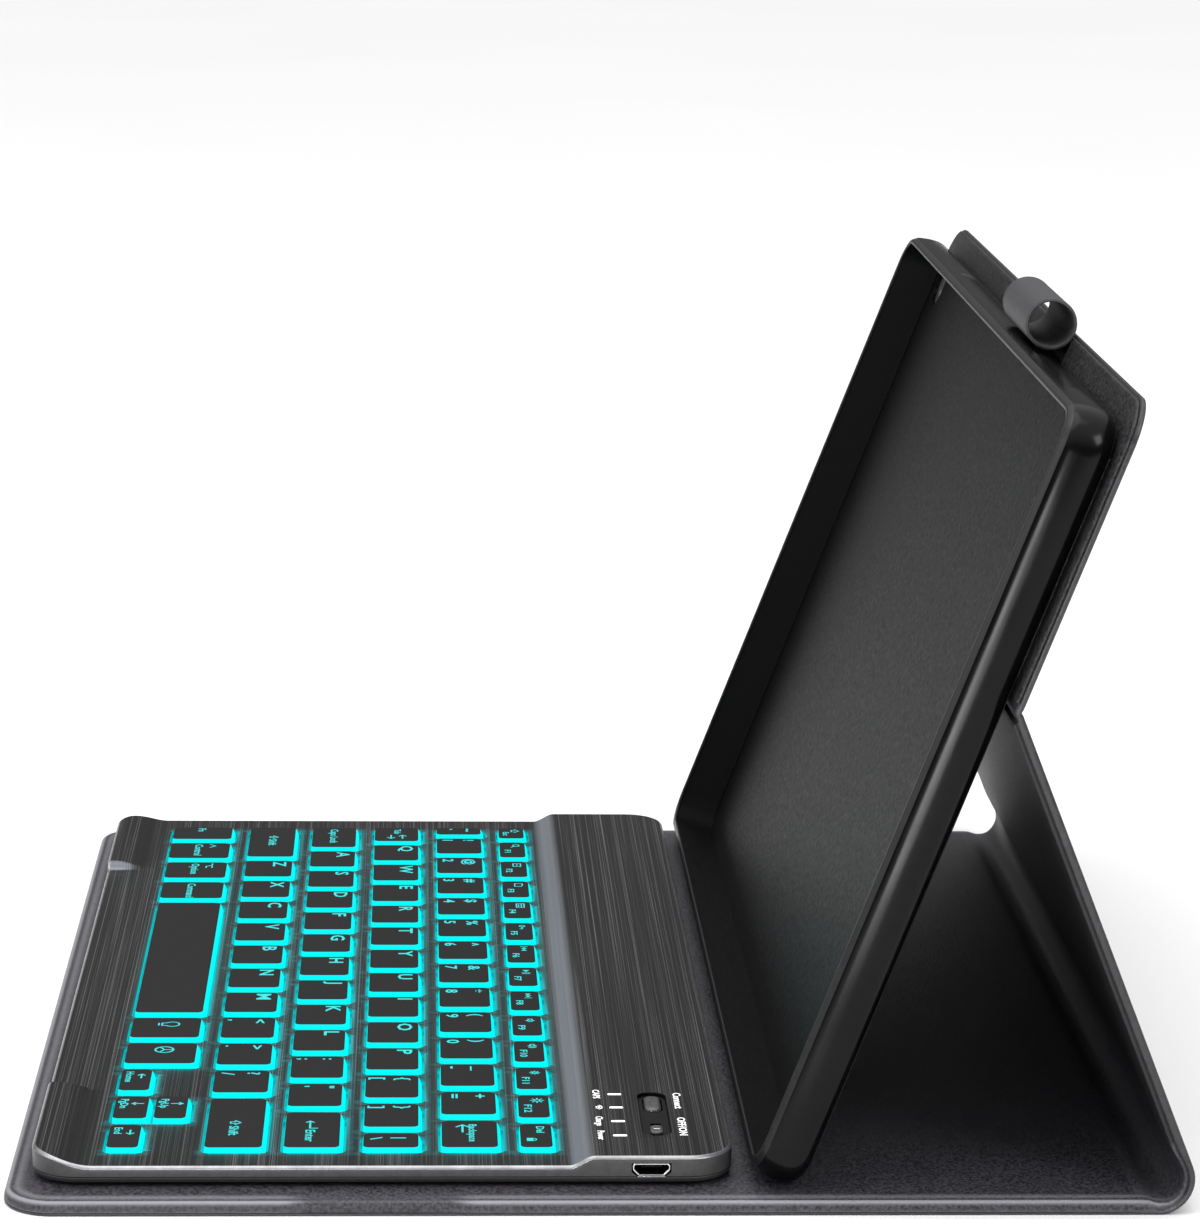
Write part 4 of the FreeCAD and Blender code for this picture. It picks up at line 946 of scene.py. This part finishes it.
b = Build()
loft(b, [port_loop(7.3, 2.5, 5.9), port_loop(7.3, 2.5, 0.12), port_loop(7.18, 2.38, 0.05), port_loop(6.9, 2.1, 0.05),
         port_loop(6.78, 1.98, 0.16), port_loop(6.78, 1.98, 5.7)], [0, 0, 0, 0, 1], last=True)
lipp = [(KW + 0.02, 5.02), (KW + 0.14, 5.05), (KW + 0.14, 5.13), (KW + 0.02, 5.16)]
loft(b, [[(x, y, z) for x, z in lipp] for y in (PY - 2.7, PY + 2.7)], 0, first=True, last=True)
b.make("charging_port_rim", [M["plate"], M["control"]], "keyboard", ["charging_port_shell"], 35)

b = Build()
rings = []
for d, z in ((1.8, 4.96), (0.28, 4.96), (0.06, 4.92), (0.0, 4.8), (0.05, 4.45), (0.3, 4.0), (0.8, 3.72), (1.5, 3.6), (2.6, 3.6)):
    rings.append([(x, y, z) for x, y in outline(-KW + d, KW - d, KF + d, KR - d, KC - d, 10, side_x, side_y)])
loft(b, rings, 0)
under = [(p[0], p[1]) for p in rings[-1]]
sinks = [[(x + 2.3 * cos(radians(30 * i)), y + 2.3 * sin(radians(30 * i))) for i in range(12)]
         for x, y in ((-123.0, 20.5), (123.0, 20.5), (0.0, 20.5), (-60, 20.5), (60, 20.5))]
v2, tris = fill(under, sinks)
b.add([(x, y, 3.6) for x, y in v2], tris, 0)
for s in sinks:
    cx, cy = sum(p[0] for p in s) / 12, sum(p[1] for p in s) / 12
    loft(b, [[(x, y, 3.6) for x, y in s], [(x, y, 3.98) for x, y in s],
             [(cx + (x - cx) * 0.56, cy + (y - cy) * 0.56, 3.98) for x, y in s]], 0)
b.make("keyboard_pan", [M["bottom"]], "keyboard", ["keyboard_bottom_case"], 30)

# status lamps, connect button, power slider
b = Build()
for bx in lamps:
    rr_ = []
    for d, z in ((0.05, 7.0), (0.05, 9.16), (0.1, 9.22), (0.22, 9.24)):
        rr_.append([(x, y, z) for x, y in outline(bx[0] + d, bx[1] - d, bx[2] + d, bx[3] - d, 0.38 - d * 0.6, 3)])
    loft(b, rr_, 0, first=True, last=True)
b.make("status_lamps", [M["lamp"]], "keyboard", ["status_light_pipes"], 40)

b = Build()
rr_ = []
for d, z in ((0.0, 6.8), (0.0, 8.66), (0.08, 8.84), (0.26, 8.98), (0.55, 9.06), (0.95, 9.1)):
    rr_.append([(x, y, z) for x, y in outline(95.4 - 4.2 + d, 95.4 + 4.2 - d, 12.1 - 1.7 + d, 12.1 + 1.7 - d, 1.4 - 0.7 * d, 6)])
loft(b, rr_, 0, first=True, last=True)
b.make("connect_button_cap", [M["knob"]], "connect_button", ["connect_button"], 40)

b = Build()
sx, sy = 111.2, 12.1
rr_ = []
for d, z in ((0.0, 8.55), (0.0, 8.86), (0.12, 9.02), (0.38, 9.1)):
    rr_.append([(x, y, z) for x, y in outline(sx - 2.2 + d, sx + 2.2 - d, sy - 1.3 + d, sy + 1.3 - d, 1.25 - d, 6)])
loft(b, rr_, 0, first=True)
cap = [(p[0], p[1]) for p in rr_[-1]]
groove = outline(sx - 0.28, sx + 0.28, sy - 0.7, sy + 0.7, 0.2, 3)
v2, tris = fill(cap, [groove])
b.add([(x, y, 9.1) for x, y in v2], tris, 0)
loft(b, [[(x, y, 9.1) for x, y in groove], [(sx + (x - sx) * 0.8, sy + (y - sy) * 0.9, 8.95) for x, y in groove]], 0, last=True)
b.add([(sx - 0.2, sy - 0.62, 9.0), (sx + 0.2, sy - 0.62, 9.0), (sx + 0.2, sy + 0.62, 9.0), (sx - 0.2, sy + 0.62, 9.0)], [(0, 1, 2, 3)], 1)
loft(b, [[(x, y, z) for x, y in outline(sx - 1.2, sx + 1.2, sy - 0.7, sy + 0.7, 0.2, 2)] for z in (6.5, 8.6)], 0, first=True, last=True)
b.make("power_slider_knob", [M["knob"], M["white"]], "power_slider", ["power_slider"], 35, weld=False)

# printing on the deck, read from the right-hand side's end of each word
b = Build()
ZP = HIGH + 0.02
word(b, "CAPS", 90.8, 0.2, 1.4, 1.15, 0, ZP, "mid")
word(b, "Charge", 107.2, 0.2, 1.4, 0.95, 0, ZP, "mid")
word(b, "Power", 115.6, 0.2, 1.4, 1.0, 0, ZP, "mid")
for r in (0.5, 1.0, 1.5):
    stroke(b, ringpts(98.9, 0.2, r, 40, 140, 6), 0.22, 0, ZP)
word(b, "Connect", 94.9, 16.5, 1.6, 1.2, 0, ZP, "mid")
word(b, "OFF/ON", 110.4, 16.5, 1.6, 1.3, 0, ZP, "mid")
b.make("deck_labels", [M["white"]], "keyboard", [], 60, weld=False)

# ------------------------------------------------------------------ front cover
CW, CF, CR, CC = 136.1, -115.9, 104.6, 10.0
gap_y = (-59.0, -27.0)
cover_ys = sorted(set([-104, -90, -75] + [gap_y[0] - 4 + i for i in range(9)] + [-50, -43, -36]
                      + [gap_y[1] - 4 + i for i in range(9)] + [-10, 5, 20, 40, 60, 80, 95, 101]))


def cover_ring(d, z, dg, zg):
    """d, z where the edge is full; dg, zg where it is pressed thin."""
    out = []
    pts_ = outline(-CW, CW, CF, CR, (CC, CC, 0, 0), 12, [-90, -45, 0, 45, 90], cover_ys)
    for x, y in pts_:
        g = smooth(gap_y[0] - 3, gap_y[0] + 3, y) * (1 - smooth(gap_y[1] - 3, gap_y[1] + 3, y)) if abs(x) > 130 else 0.0
        dd = d + (dg - d) * g
        zz = z + (zg - z) * g
        # move inward along the outline's own normal
        if y < CF + CC and abs(x) > CW - CC:
            cx, cy = (CW - CC) * (1 if x > 0 else -1), CF + CC
            k = (CC - dd) / CC
            out.append((cx + (x - cx) * k, cy + (y - cy) * k, zz))
        elif abs(x) > CW - 0.01:
            out.append(((CW - dd) * (1 if x > 0 else -1), y, zz))
        elif y < CF + 0.01:
            out.append((x, CF + dd, zz))
        else:
            s_ = (CW - dd) / CW
            out.append((x * s_, y, zz))
    return out


def gap_share(x, y):
    return smooth(gap_y[0] - 3, gap_y[0] + 3, y) * (1 - smooth(gap_y[1] - 3, gap_y[1] + 3, y)) if abs(x) > 130 else 0.0


b = Build()
# rows: inset and height where the edge is full, inset and height where it is pressed thin, painted highlight
prof = [(2.2, 0.62, 2.2, 0.62, 0), (0.16, 0.62, 0.16, 0.62, 0.25), (0.0, 0.76, 0.0, 0.76, 0.3), (0.0, 1.1, 0.0, 1.2, 0.05),
        (0.05, 1.5, 0.02, 1.9, 0.0), (0.14, 1.85, 0.10, 2.35, 0.0), (0.26, 2.2, 0.25, 2.62, 0.25), (0.42, 2.5, 0.45, 2.76, 0.85),
        (0.66, 2.72, 0.7, 2.84, 1.0), (0.98, 2.82, 1.0, 2.87, 0.75), (1.3, 2.78, 1.3, 2.89, 0.1), (1.65, 2.76, 1.65, 2.9, 0.0),
        (2.1, 2.88, 2.1, 2.92, 0.28), (2.6, 3.02, 2.6, 2.94, 0.42), (3.2, 3.05, 3.2, 2.95, 0.25), (3.9, 2.99, 3.9, 2.96, 0.05),
        (4.6, 2.96, 4.6, 2.98, 0.0), (5.8, 3.0, 5.8, 3.0, 0.0)]
rings = [cover_ring(*p[:4]) for p in prof]
# painted highlight on the rolled edge, mostly left out where the edge is pressed thin
edge_highlights = []
for p, ring in zip(prof, rings):
    edge_highlights += [p[4] * (1 - 0.9 * gap_share(x, y)) for x, y, z in ring]
loft(b, rings, 0, last=True, painted_shading=edge_highlights)
b.make("cover_lining_leather", [M["lining"]], "front_cover", ["front_cover_lining"], 50)

b = Build()
prof = [(3.0, 0.6, 3.0, 0.6), (0.14, 0.6, 0.14, 0.6), (0.02, 0.52, 0.02, 0.52), (0.0, 0.36, 0.0, 0.36), (0.08, 0.14, 0.08, 0.14),
        (0.35, 0.02, 0.35, 0.02), (0.9, 0.0, 0.9, 0.0)]
loft(b, [cover_ring(*p) for p in prof], [1, 1, 1, 1, 1, 0, 0], last=True)
b.make("cover_outer_leather", [M["rib_base"], M["skin_edge"]], "front_cover", ["front_cover_skin"], 50)


# edge profiles of a leather strip: (inset, share from outer to inner face, painted highlight, finish)
AS_COVER = [(0.9, 0.0, 0, 2), (0.35, 0.007, 0, 2), (0.08, 0.05, 0, 2), (0.0, 0.12, 0, 2), (0.02, 0.17, 0, 2), (0.16, 0.205, 0.25, 1),
            (0.0, 0.255, 0.3, 1), (0.0, 0.37, 0.05, 1), (0.05, 0.5, 0, 1), (0.26, 0.733, 0.25, 1), (0.5, 0.86, 0.9, 1),
            (0.82, 0.93, 0.9, 1), (1.3, 0.927, 0.1, 1), (1.9, 0.95, 0.1, 1), (2.6, 1.0, 0.4, 1), (3.6, 1.0, 0.1, 1)]
AS_STAND = [(0.9, 0.0, 0, 2), (0.45, 0.02, 0, 2), (0.16, 0.09, 0, 2), (0.02, 0.2, 0.1, 2), (0.0, 0.33, 0.3, 2), (0.05, 0.45, 0.5, 2),
            (0.18, 0.55, 0.4, 2), (0.42, 0.63, 0.1, 2), (0.8, 0.66, 0, 2), (0.95, 0.68, 0, 2), (0.92, 0.8, 0, 1),
            (0.98, 0.9, 0.1, 1), (1.1, 0.96, 0.2, 1), (1.35, 0.99, 0.2, 1), (1.9, 1.0, 0.1, 1), (3.2, 1.0, 0, 1)]


def swept(b, stations, halfw, mats, ends=(True, True)):
    """Stations: outer point, inner point (y, z) and 0 for the cover's edge to 1 for the stand's."""
    rings_, edge_highlights_, fm_ = [], [], []
    for st in stations:
        out_, in_ = st[0], st[1]
        t = st[2] if len(st) > 2 else 1.0
        prof_ = [tuple(p[k] * (1 - t) + q[k] * t for k in range(3)) for p, q in zip(AS_COVER, AS_STAND)]
        loop = [(halfw - d, w, n) for d, w, n in prof_]
        loop += [(x, 1.0, 0.0) for x in (90, 45, 0, -45, -90)]
        loop += [(-(halfw - d), w, n) for d, w, n in reversed(prof_)]
        loop += [(x, 0.0, 0.0) for x in (-90, -45, 0, 45, 90)]
        rings_.append([tuple(Vector((x,) + out_) * (1 - w) + Vector((x,) + in_) * w) for x, w, n in loop])
        # the third profile column: a painted highlight along the strip's edges
        edge_highlights_ += [q[2] for q in loop]
    np_ = len(AS_COVER)
    n = len(rings_[0])
    faces_ = []
    for k in range(len(rings_) - 1):
        t = stations[k][2] if len(stations[k]) > 2 else 1.0
        table = AS_STAND if t > 0.5 else AS_COVER
        for i in range(n):
            j = (i + 1) % n
            faces_.append((k * n + i, k * n + j, (k + 1) * n + j, (k + 1) * n + i))
            if i < np_ - 1:
                fm_.append(mats[table[i + 1][3]])
            elif i < np_ + 5:
                fm_.append(mats[1])
            elif i < 2 * np_ + 4:
                fm_.append(mats[table[2 * np_ + 4 - i][3]])
            else:
                fm_.append(mats[0])
    if ends[0]:
        faces_.append(tuple(range(n - 1, -1, -1)))
        fm_.append(mats[2])
    if ends[1]:
        faces_.append(tuple(range((len(rings_) - 1) * n, len(rings_) * n)))
        fm_.append(mats[2])
    b.add([p for r in rings_ for p in r], faces_, fm_, None, edge_highlights_)


def yz(p):
    return (p[1], p[2])


# spine: leaves the cover flat, dips, turns up round the arc and joins the stand
stations = [((104.6, 0.0), (104.6, 3.0), 0.0), ((106.0, 0.0), (105.9, 3.0), 0.0), ((107.2, 0.0), (107.0, 2.9), 0.05),
            ((108.2, 0.0), (107.9, 2.6), 0.15)]
turn_all = 90 + 22.05
for k in range(0, 15):
    a = radians(-90 + turn_all * k / 14)
    r_in = 5.05 - 0.35 * (1 - smooth(0, 4, k))
    stations.append(((SY + 7.0 * cos(a), SZ + 7.0 * sin(a)), (SY + r_in * cos(a), SZ + r_in * sin(a)), smooth(-2, 9, k)))
for s, n_in in ((1.0, 5.0), (2.2, 4.85), (3.4, 4.6), (4.8, 4.42), (6.2, 4.4)):
    stations.append((yz(ST(0, 7.0, s)), yz(ST(0, n_in, s)), 1.0))
b = Build()
swept(b, stations, CW, (0, 1, 2))
spine = b.make("spine_leather", [M["rib_stand"], M["lining"], M["skin_edge"]], None, ["spine_strip"], 60)
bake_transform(spine)

# ------------------------------------------------------------------ stand
def plain_strip(b, stations, halfw, prof_, mats):
    """A strip whose edge profile is the same all along: (inset, share, painted highlight)."""
    rings_, edge_highlights_ = [], []
    for out_, in_ in stations:
        loop = [(halfw - d, w, n) for d, w, n in prof_] + [(x, 1.0, 0.0) for x in (90, 45, 0, -45, -90)]
        loop += [(-(halfw - d), w, n) for d, w, n in reversed(prof_)] + [(x, 0.0, 0.0) for x in (-90, -45, 0, 45, 90)]
        rings_.append([tuple(Vector((x,) + out_) * (1 - w) + Vector((x,) + in_) * w) for x, w, n in loop])
        edge_highlights_ += [q[2] for q in loop]
    n, m_ = len(rings_[0]), len(prof_)
    faces_, fm_ = [], []
    for k in range(len(rings_) - 1):
        for i in range(n):
            j = (i + 1) % n
            faces_.append((k * n + i, k * n + j, (k + 1) * n + j, (k + 1) * n + i))
            fm_.append(mats[1] if i < m_ - 1 or m_ + 5 <= i < 2 * m_ + 4 else mats[2] if i < m_ + 5 else mats[0])
    faces_ += [tuple(range(n - 1, -1, -1)), tuple(range((len(rings_) - 1) * n, len(rings_) * n))]
    fm_ += [mats[1], mats[1]]
    b.add([p for r in rings_ for p in r], faces_, fm_, None, edge_highlights_)


# third column: a painted highlight along the edge
BEAD = [(0.9, 0.0, 0), (0.45, 0.03, 0), (0.16, 0.13, 0), (0.02, 0.3, 0.1), (0.0, 0.49, 0.3), (0.05, 0.67, 0.5), (0.18, 0.82, 0.4),
        (0.42, 0.94, 0.1), (0.8, 1.0, 0)]
INLAY = [(0.05, 0.0, 0), (0.0, 0.3, 0), (0.04, 0.7, 0.1), (0.2, 0.93, 0.2), (0.45, 1.0, 0.2), (1.0, 1.0, 0)]
b = Build()
plain_strip(b, [(yz(ST(0, 7.0, s)), yz(ST(0, 5.25, s))) for s in (6.1, 20, 40, 60, 80, 96.6)], CW, BEAD, (0, 1, 1))
b.make("stand_outer_leather", [M["rib_stand"], M["skin_edge"]], "stand", ["stand_skin"], 60)
b = Build()
plain_strip(b, [(yz(ST(0, 5.3, s)), yz(ST(0, 4.4, s))) for s in (6.0, 20, 40, 60, 80, 95.6)] + [(yz(ST(0, 5.3, 96.3)), yz(ST(0, 4.75, 96.3)))],
            CW - 0.92, INLAY, (0, 0, 0))
b.make("stand_inner_leather", [M["inner"]], "stand", ["stand_lining"], 60)

# fold between stand and back panel
ax = yz(ST(0, 7.0, SLEN))
stations = [(yz(ST(0, 7.0, 96.4)), yz(ST(0, 5.5, 96.4))), (yz(ST(0, 7.0, 97.4)), yz(ST(0, 5.5, 97.4)))]
for k in range(7):
    a = TILT - (TILT + LEAN) * k / 6
    dy, dz = -cos(a), -sin(a)
    stations.append(((ax[0] + dy * 0.1, ax[1] + dz * 0.1), (ax[0] + dy * 1.5, ax[1] + dz * 1.5)))
stations += [(yz(T(0, 12.9, 103.9)), yz(T(0, 11.4, 103.9))), (yz(T(0, 12.9, 104.9)), yz(T(0, 11.4, 104.9)))]
b = Build()
plain_strip(b, stations, CW, BEAD, (0, 1, 1))
fold = b.make("fold_leather", [M["rib_stand"], M["skin_edge"]], None, ["fold_strip"], 60)
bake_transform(fold)

# ------------------------------------------------------------------ back panel
CAMX, CAMU = -120.5, 152.0


def disc(r, n=32):
    return [(CAMX + r * cos(2 * pi * k / n), CAMU + r * sin(2 * pi * k / n)) for k in range(n)]


def panel_ring(d, n, low=104.6):
    pts_ = outline(-CW + d, CW - d, low, 166.6 - d, (0, 0, 9 - d, 9 - d), 10, [-90, -45, 0, 45, 90], [120, 135, 150])
    return [T(x, n, u) for x, u in pts_], pts_


b = Build()
rs = [panel_ring(d, n) for d, n in ((1.6, 11.72), (0.3, 11.72), (0.06, 11.85), (0.0, 12.1), (0.0, 12.5), (0.08, 12.72), (0.35, 12.86), (0.9, 12.9))]
loft(b, [r[0] for r in rs], [1, 1, 1, 1, 1, 1, 1])
v2, tris = fill(rs[-1][1], [disc(7.6)])
b.add([T(x, 12.9, u) for x, u in v2], tris, 0)
loft(b, [[T(x, n, u) for x, u in disc(r)] for r, n in ((7.6, 12.9), (7.3, 12.72), (7.0, 12.72), (6.7, 12.95), (6.2, 13.0), (5.6, 12.97), (5.3, 12.8), (5.2, 12.5), (5.2, 11.3))],
     [1] * 8)
v2, tris = fill(rs[0][1], [disc(5.2)])
b.add([T(x, 11.72, u) for x, u in v2], tris, 1)
b.make("panel_outer_leather", [M["rib_panel"], M["skin_edge"]], "tray_panel", ["back_panel_skin"], 45)

b = Build()
rs = [panel_ring(d, n, 104.8) for d, n in ((0.9, 11.7), (0.62, 11.6), (0.55, 11.4), (0.62, 11.2), (0.9, 11.05), (1.5, 11.0))]
loft(b, [r[0] for r in rs], 0)
v2, tris = fill(rs[-1][1], [disc(5.25)])
b.add([T(x, 11.0, u) for x, u in v2], tris, 0)
loft(b, [[T(x, n, u) for x, u in disc(5.25)] for n in (11.0, 11.7)], 0)
b.make("panel_inner_leather", [M["lining_dark"]], "tray_panel", ["back_panel_lining"], 45)

# ------------------------------------------------------------------ tray
top_xs = sorted(set([-100, -60, -20, 10] + [39.2, 39.6, 40.0, 40.6, 41.4, 42.4] + [55, 72, 88] + [101.6, 102.6, 103.4, 104.0, 104.4, 104.8]
                    + [-62.8, -62.4, -62, -61.4, -60.6, -59.6, -40, 0] + [19.6, 20.6, 21.4, 22, 22.4, 22.8]))


def tray_ring(hx, u0, u1, R, n):
    pts_ = outline(-hx, hx, u0, u1, R, 10, top_xs, [20, 50, 80, 110, 140])
    out = []
    for x, u in pts_:
        uu = u
        if u > 160.0 and abs(x) < 120:
            along = smooth(39.4, 41.6, x) * (1 - smooth(102.4, 104.6, x)) + smooth(-62.8, -60.4, x) * (1 - smooth(20.4, 22.8, x))
            uu -= 0.5 * along * smooth(3.1, 3.7, n) * (1 - smooth(7.9, 8.6, n))
        out.append(T(x, n, uu))
    return out, pts_


spec = [(131.2, 0.0, 159.2, 6.5, 10.2, 2), (131.2, 0.0, 159.2, 6.5, 0.75, 2), (130.95, 0.25, 158.95, 6.6, 0.6, 2), (130.8, 0.4, 158.8, 6.6, 0.5, 1),
        (130.8, 0.4, 158.8, 6.6, 0.2, 1), (130.9, 0.3, 158.9, 6.7, 0.06, 1), (131.1, 0.1, 159.1, 6.9, 0.0, 1), (131.42, -0.92, 159.62, 7.1, 0.0, 1),
        (131.6, -1.1, 159.8, 7.2, 0.1, 1), (132.35, -1.85, 160.55, 8.0, 1.05, 1), (132.55, -2.05, 160.75, 8.15, 1.35, 0), (132.85, -2.35, 161.05, 8.4, 2.4, 0),
        (133.02, -2.52, 161.22, 8.62, 3.1, 0), (133.08, -2.58, 161.28, 8.68, 3.4, 0), (133.15, -2.65, 161.35, 8.75, 3.7, 0), (133.25, -2.75, 161.45, 8.85, 4.3, 0), (133.36, -2.86, 161.56, 8.95, 5.2, 0), (133.4, -2.9, 161.6, 9.0, 6.2, 0),
        (133.34, -2.84, 161.54, 8.94, 7.0, 0), (133.15, -2.65, 161.35, 8.75, 7.8, 0), (133.0, -2.5, 161.2, 8.6, 8.2, 0), (132.8, -2.3, 161.0, 8.4, 8.6, 0), (132.2, -1.7, 160.4, 7.8, 9.35, 0),
        (131.3, -0.8, 159.5, 6.9, 10.0, 0), (130.2, 0.3, 158.4, 5.8, 10.45, 0), (129.0, 1.5, 157.2, 5.0, 10.7, 0), (127.6, 2.9, 155.8, 4.6, 10.8, 0)]
b = Build()
rs = [tray_ring(*s[:5]) for s in spec]
loft(b, [r[0] for r in rs], [s[5] for s in spec[1:]])
back_xs = rs[-1][1]
v2, tris = fill(back_xs, [disc(5.2)])
b.add([T(x, 10.8, u) for x, u in v2], tris, 0)
v2, tris = fill(rs[0][1], [disc(5.2)])
b.add([T(x, 10.2, u) for x, u in v2], tris, 2)
loft(b, [[T(x, n, u) for x, u in disc(5.2)] for n in (10.2, 10.8)], 0)
tray = b.make("tablet_tray", [M["gloss"], M["lip"], M["bay"]], "tray_panel", ["tray_shell"], 30)

# ------------------------------------------------------------------ stylus loop
lcn, lcu = 11.0 - 4.6 - 0.8 - 0.12, 161.6 + 4.6 + 0.8 + 0.12
edge_ = [(0.0, 4.85), (0.0, 5.2), (0.12, 5.36), (0.4, 5.4), (0.8, 5.4), (1.05, 5.3), (1.4, 5.32), (3.0, 5.36)]
under_ = [(2.0, 4.6), (0.8, 4.6), (0.3, 4.66)]
LX0, LX1 = 19.0, 53.0
sec = [(LX0 + d, r) for d, r in edge_] + [(36.0, 5.37)] + [(LX1 - d, r) for d, r in reversed(edge_)]
sec += [(LX1 - d, r) for d, r in reversed(under_)] + [(36.0, 4.6)] + [(LX0 + d, r) for d, r in under_]
b = Build()
ring_sets = []
for k in range(64):
    a = 2 * pi * k / 64
    ring_sets.append([T(x, lcn + r * cos(a), lcu + r * sin(a)) for x, r in sec])
ring_sets.append(ring_sets[0])
loft(b, ring_sets, 0)
tail = [(LX0, 10.84), (LX1, 10.84), (LX1, 10.97), (LX0, 10.97)]
loft(b, [[T(x, n, u) for x, n in tail] for u in (154.2, 158, 162, 165.5)], 0, first=True, last=True)
b.make("stylus_loop_band", [M["elastic"]], "tray_panel", ["stylus_loop"], 40)

# ------------------------------------------------------------------ parts kept from the CAD
for name, key in {"front_cover_board": "board", "stand_board": "board", "back_panel_board": "board",
                  "keyboard_magnets": "magnet", "foot_magnets": "magnet", "tray_adhesive_pad": "tape",
                  "case_screws": "steel", "screw_posts": "post", "keyboard_feet": "rubber", "key_backplate": "magnet",
                  "light_guide": "guide", "key_membrane": "film", "rubber_dome_sheet": "dome", "main_pcb": "pcb",
                  "battery": "pouch", "charging_port_tongue": "control", "control_bezel": "control",
                  "connect_switch": "post", "power_switch": "post"}.items():
    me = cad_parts[name].data
    me.materials.clear()
    me.materials.append(M[key])

# ------------------------------------------------------------------ floor, light, camera
fm_, nt, p = new_mat("floor_paper")
n1 = node(nt, "ShaderNodeTexNoise", Scale=3.0, Detail=2.0)
nt.links.new(mapped(nt), n1.inputs["Vector"])
col, _ = mix_colour(nt, n1.outputs["Fac"], (0.86, 0.86, 0.86, 1), (0.9, 0.9, 0.9, 1))
nt.links.new(col, p.inputs["Base Color"])
p.inputs["Roughness"].default_value = 0.9
p.inputs["Specular IOR Level"].default_value = 0.1
fme = bpy.data.meshes.new("floor")
fme.from_pydata([(-8, -8, 0), (8, -8, 0), (8, 8, 0), (-8, 8, 0)], [], [(0, 1, 2, 3)])
fme.materials.append(fm_)
floor = bpy.data.objects.new("floor", fme)
bpy.context.scene.collection.objects.link(floor)

scene = bpy.context.scene
world = bpy.data.worlds.new("studio")
scene.world = world
world.use_nodes = True
wn = world.node_tree
bg = wn.nodes["Background"]
tc = wn.nodes.new("ShaderNodeTexCoord")
sep = wn.nodes.new("ShaderNodeSeparateXYZ")
wn.links.new(tc.outputs["Generated"], sep.inputs[0])
wr = wn.nodes.new("ShaderNodeValToRGB")
we = wr.color_ramp.elements
we[0].position, we[0].color = 0.0, (0.13, 0.13, 0.135, 1)
we[1].position, we[1].color = 0.95, (1.55, 1.55, 1.55, 1)
for at_, v_ in ((0.28, 0.17), (0.5, 0.75), (0.7, 1.2)):
    e_ = we.new(at_)
    e_.color = (v_, v_, v_, 1)
wn.links.new(sep.outputs["Z"], wr.inputs["Fac"])
wn.links.new(wr.outputs["Color"], bg.inputs["Color"])
bg.inputs["Strength"].default_value = 1.0


def area(name, at, to, size, power, size_y=None):
    ld = bpy.data.lights.new(name, "AREA")
    ld.energy = power
    ld.size = size
    if size_y:
        ld.shape = "RECTANGLE"
        ld.size_y = size_y
    lo = bpy.data.objects.new(name, ld)
    lo.location = at
    lo.rotation_mode = "QUATERNION"
    lo.rotation_quaternion = (Vector(to) - Vector(at)).to_track_quat("-Z", "Y")
    scene.collection.objects.link(lo)
    lo.visible_camera = False
    return lo


area("softbox_top", (0.1, -0.25, 1.5), (0, 0, 0), 1.1, 9.0)
area("softbox_side", (1.0, 0.9, 0.9), (0.1, 0.05, 0.05), 0.5, 6.0)
area("softbox_front", (0.5, -1.4, 0.7), (0, 0, 0.05), 0.8, 5.0)
area("strip_near", (0.66, -0.12, 0.085), (0.13, 0.06, 0.09), 0.08, 0.9, 0.17)

yaw, pitch, roll = radians(2.66), radians(12.3), radians(0.86)
fw = Vector((-cos(pitch) * cos(yaw), cos(pitch) * sin(yaw), -sin(pitch)))
r0 = fw.cross(Vector((0, 0, 1))).normalized()
u0 = r0.cross(fw)
cr, sr = cos(roll), sin(roll)
rv, uv = cr * r0 + sr * u0, -sr * r0 + cr * u0
cd = bpy.data.cameras.new("camera")
cam = bpy.data.objects.new("camera", cd)
scene.collection.objects.link(cam)
cam.matrix_world = Matrix(((rv.x, uv.x, -fw.x, 0.8907), (rv.y, uv.y, -fw.y, -0.03697), (rv.z, uv.z, -fw.z, 0.2850), (0, 0, 0, 1)))
cd.sensor_fit = "AUTO"
cd.sensor_width = 36
cd.lens = 4123 * 36 / 1219
cd.clip_start, cd.clip_end = 0.02, 60
scene.camera = cam
scene.view_settings.view_transform = "Standard"
scene.view_settings.look = "None"
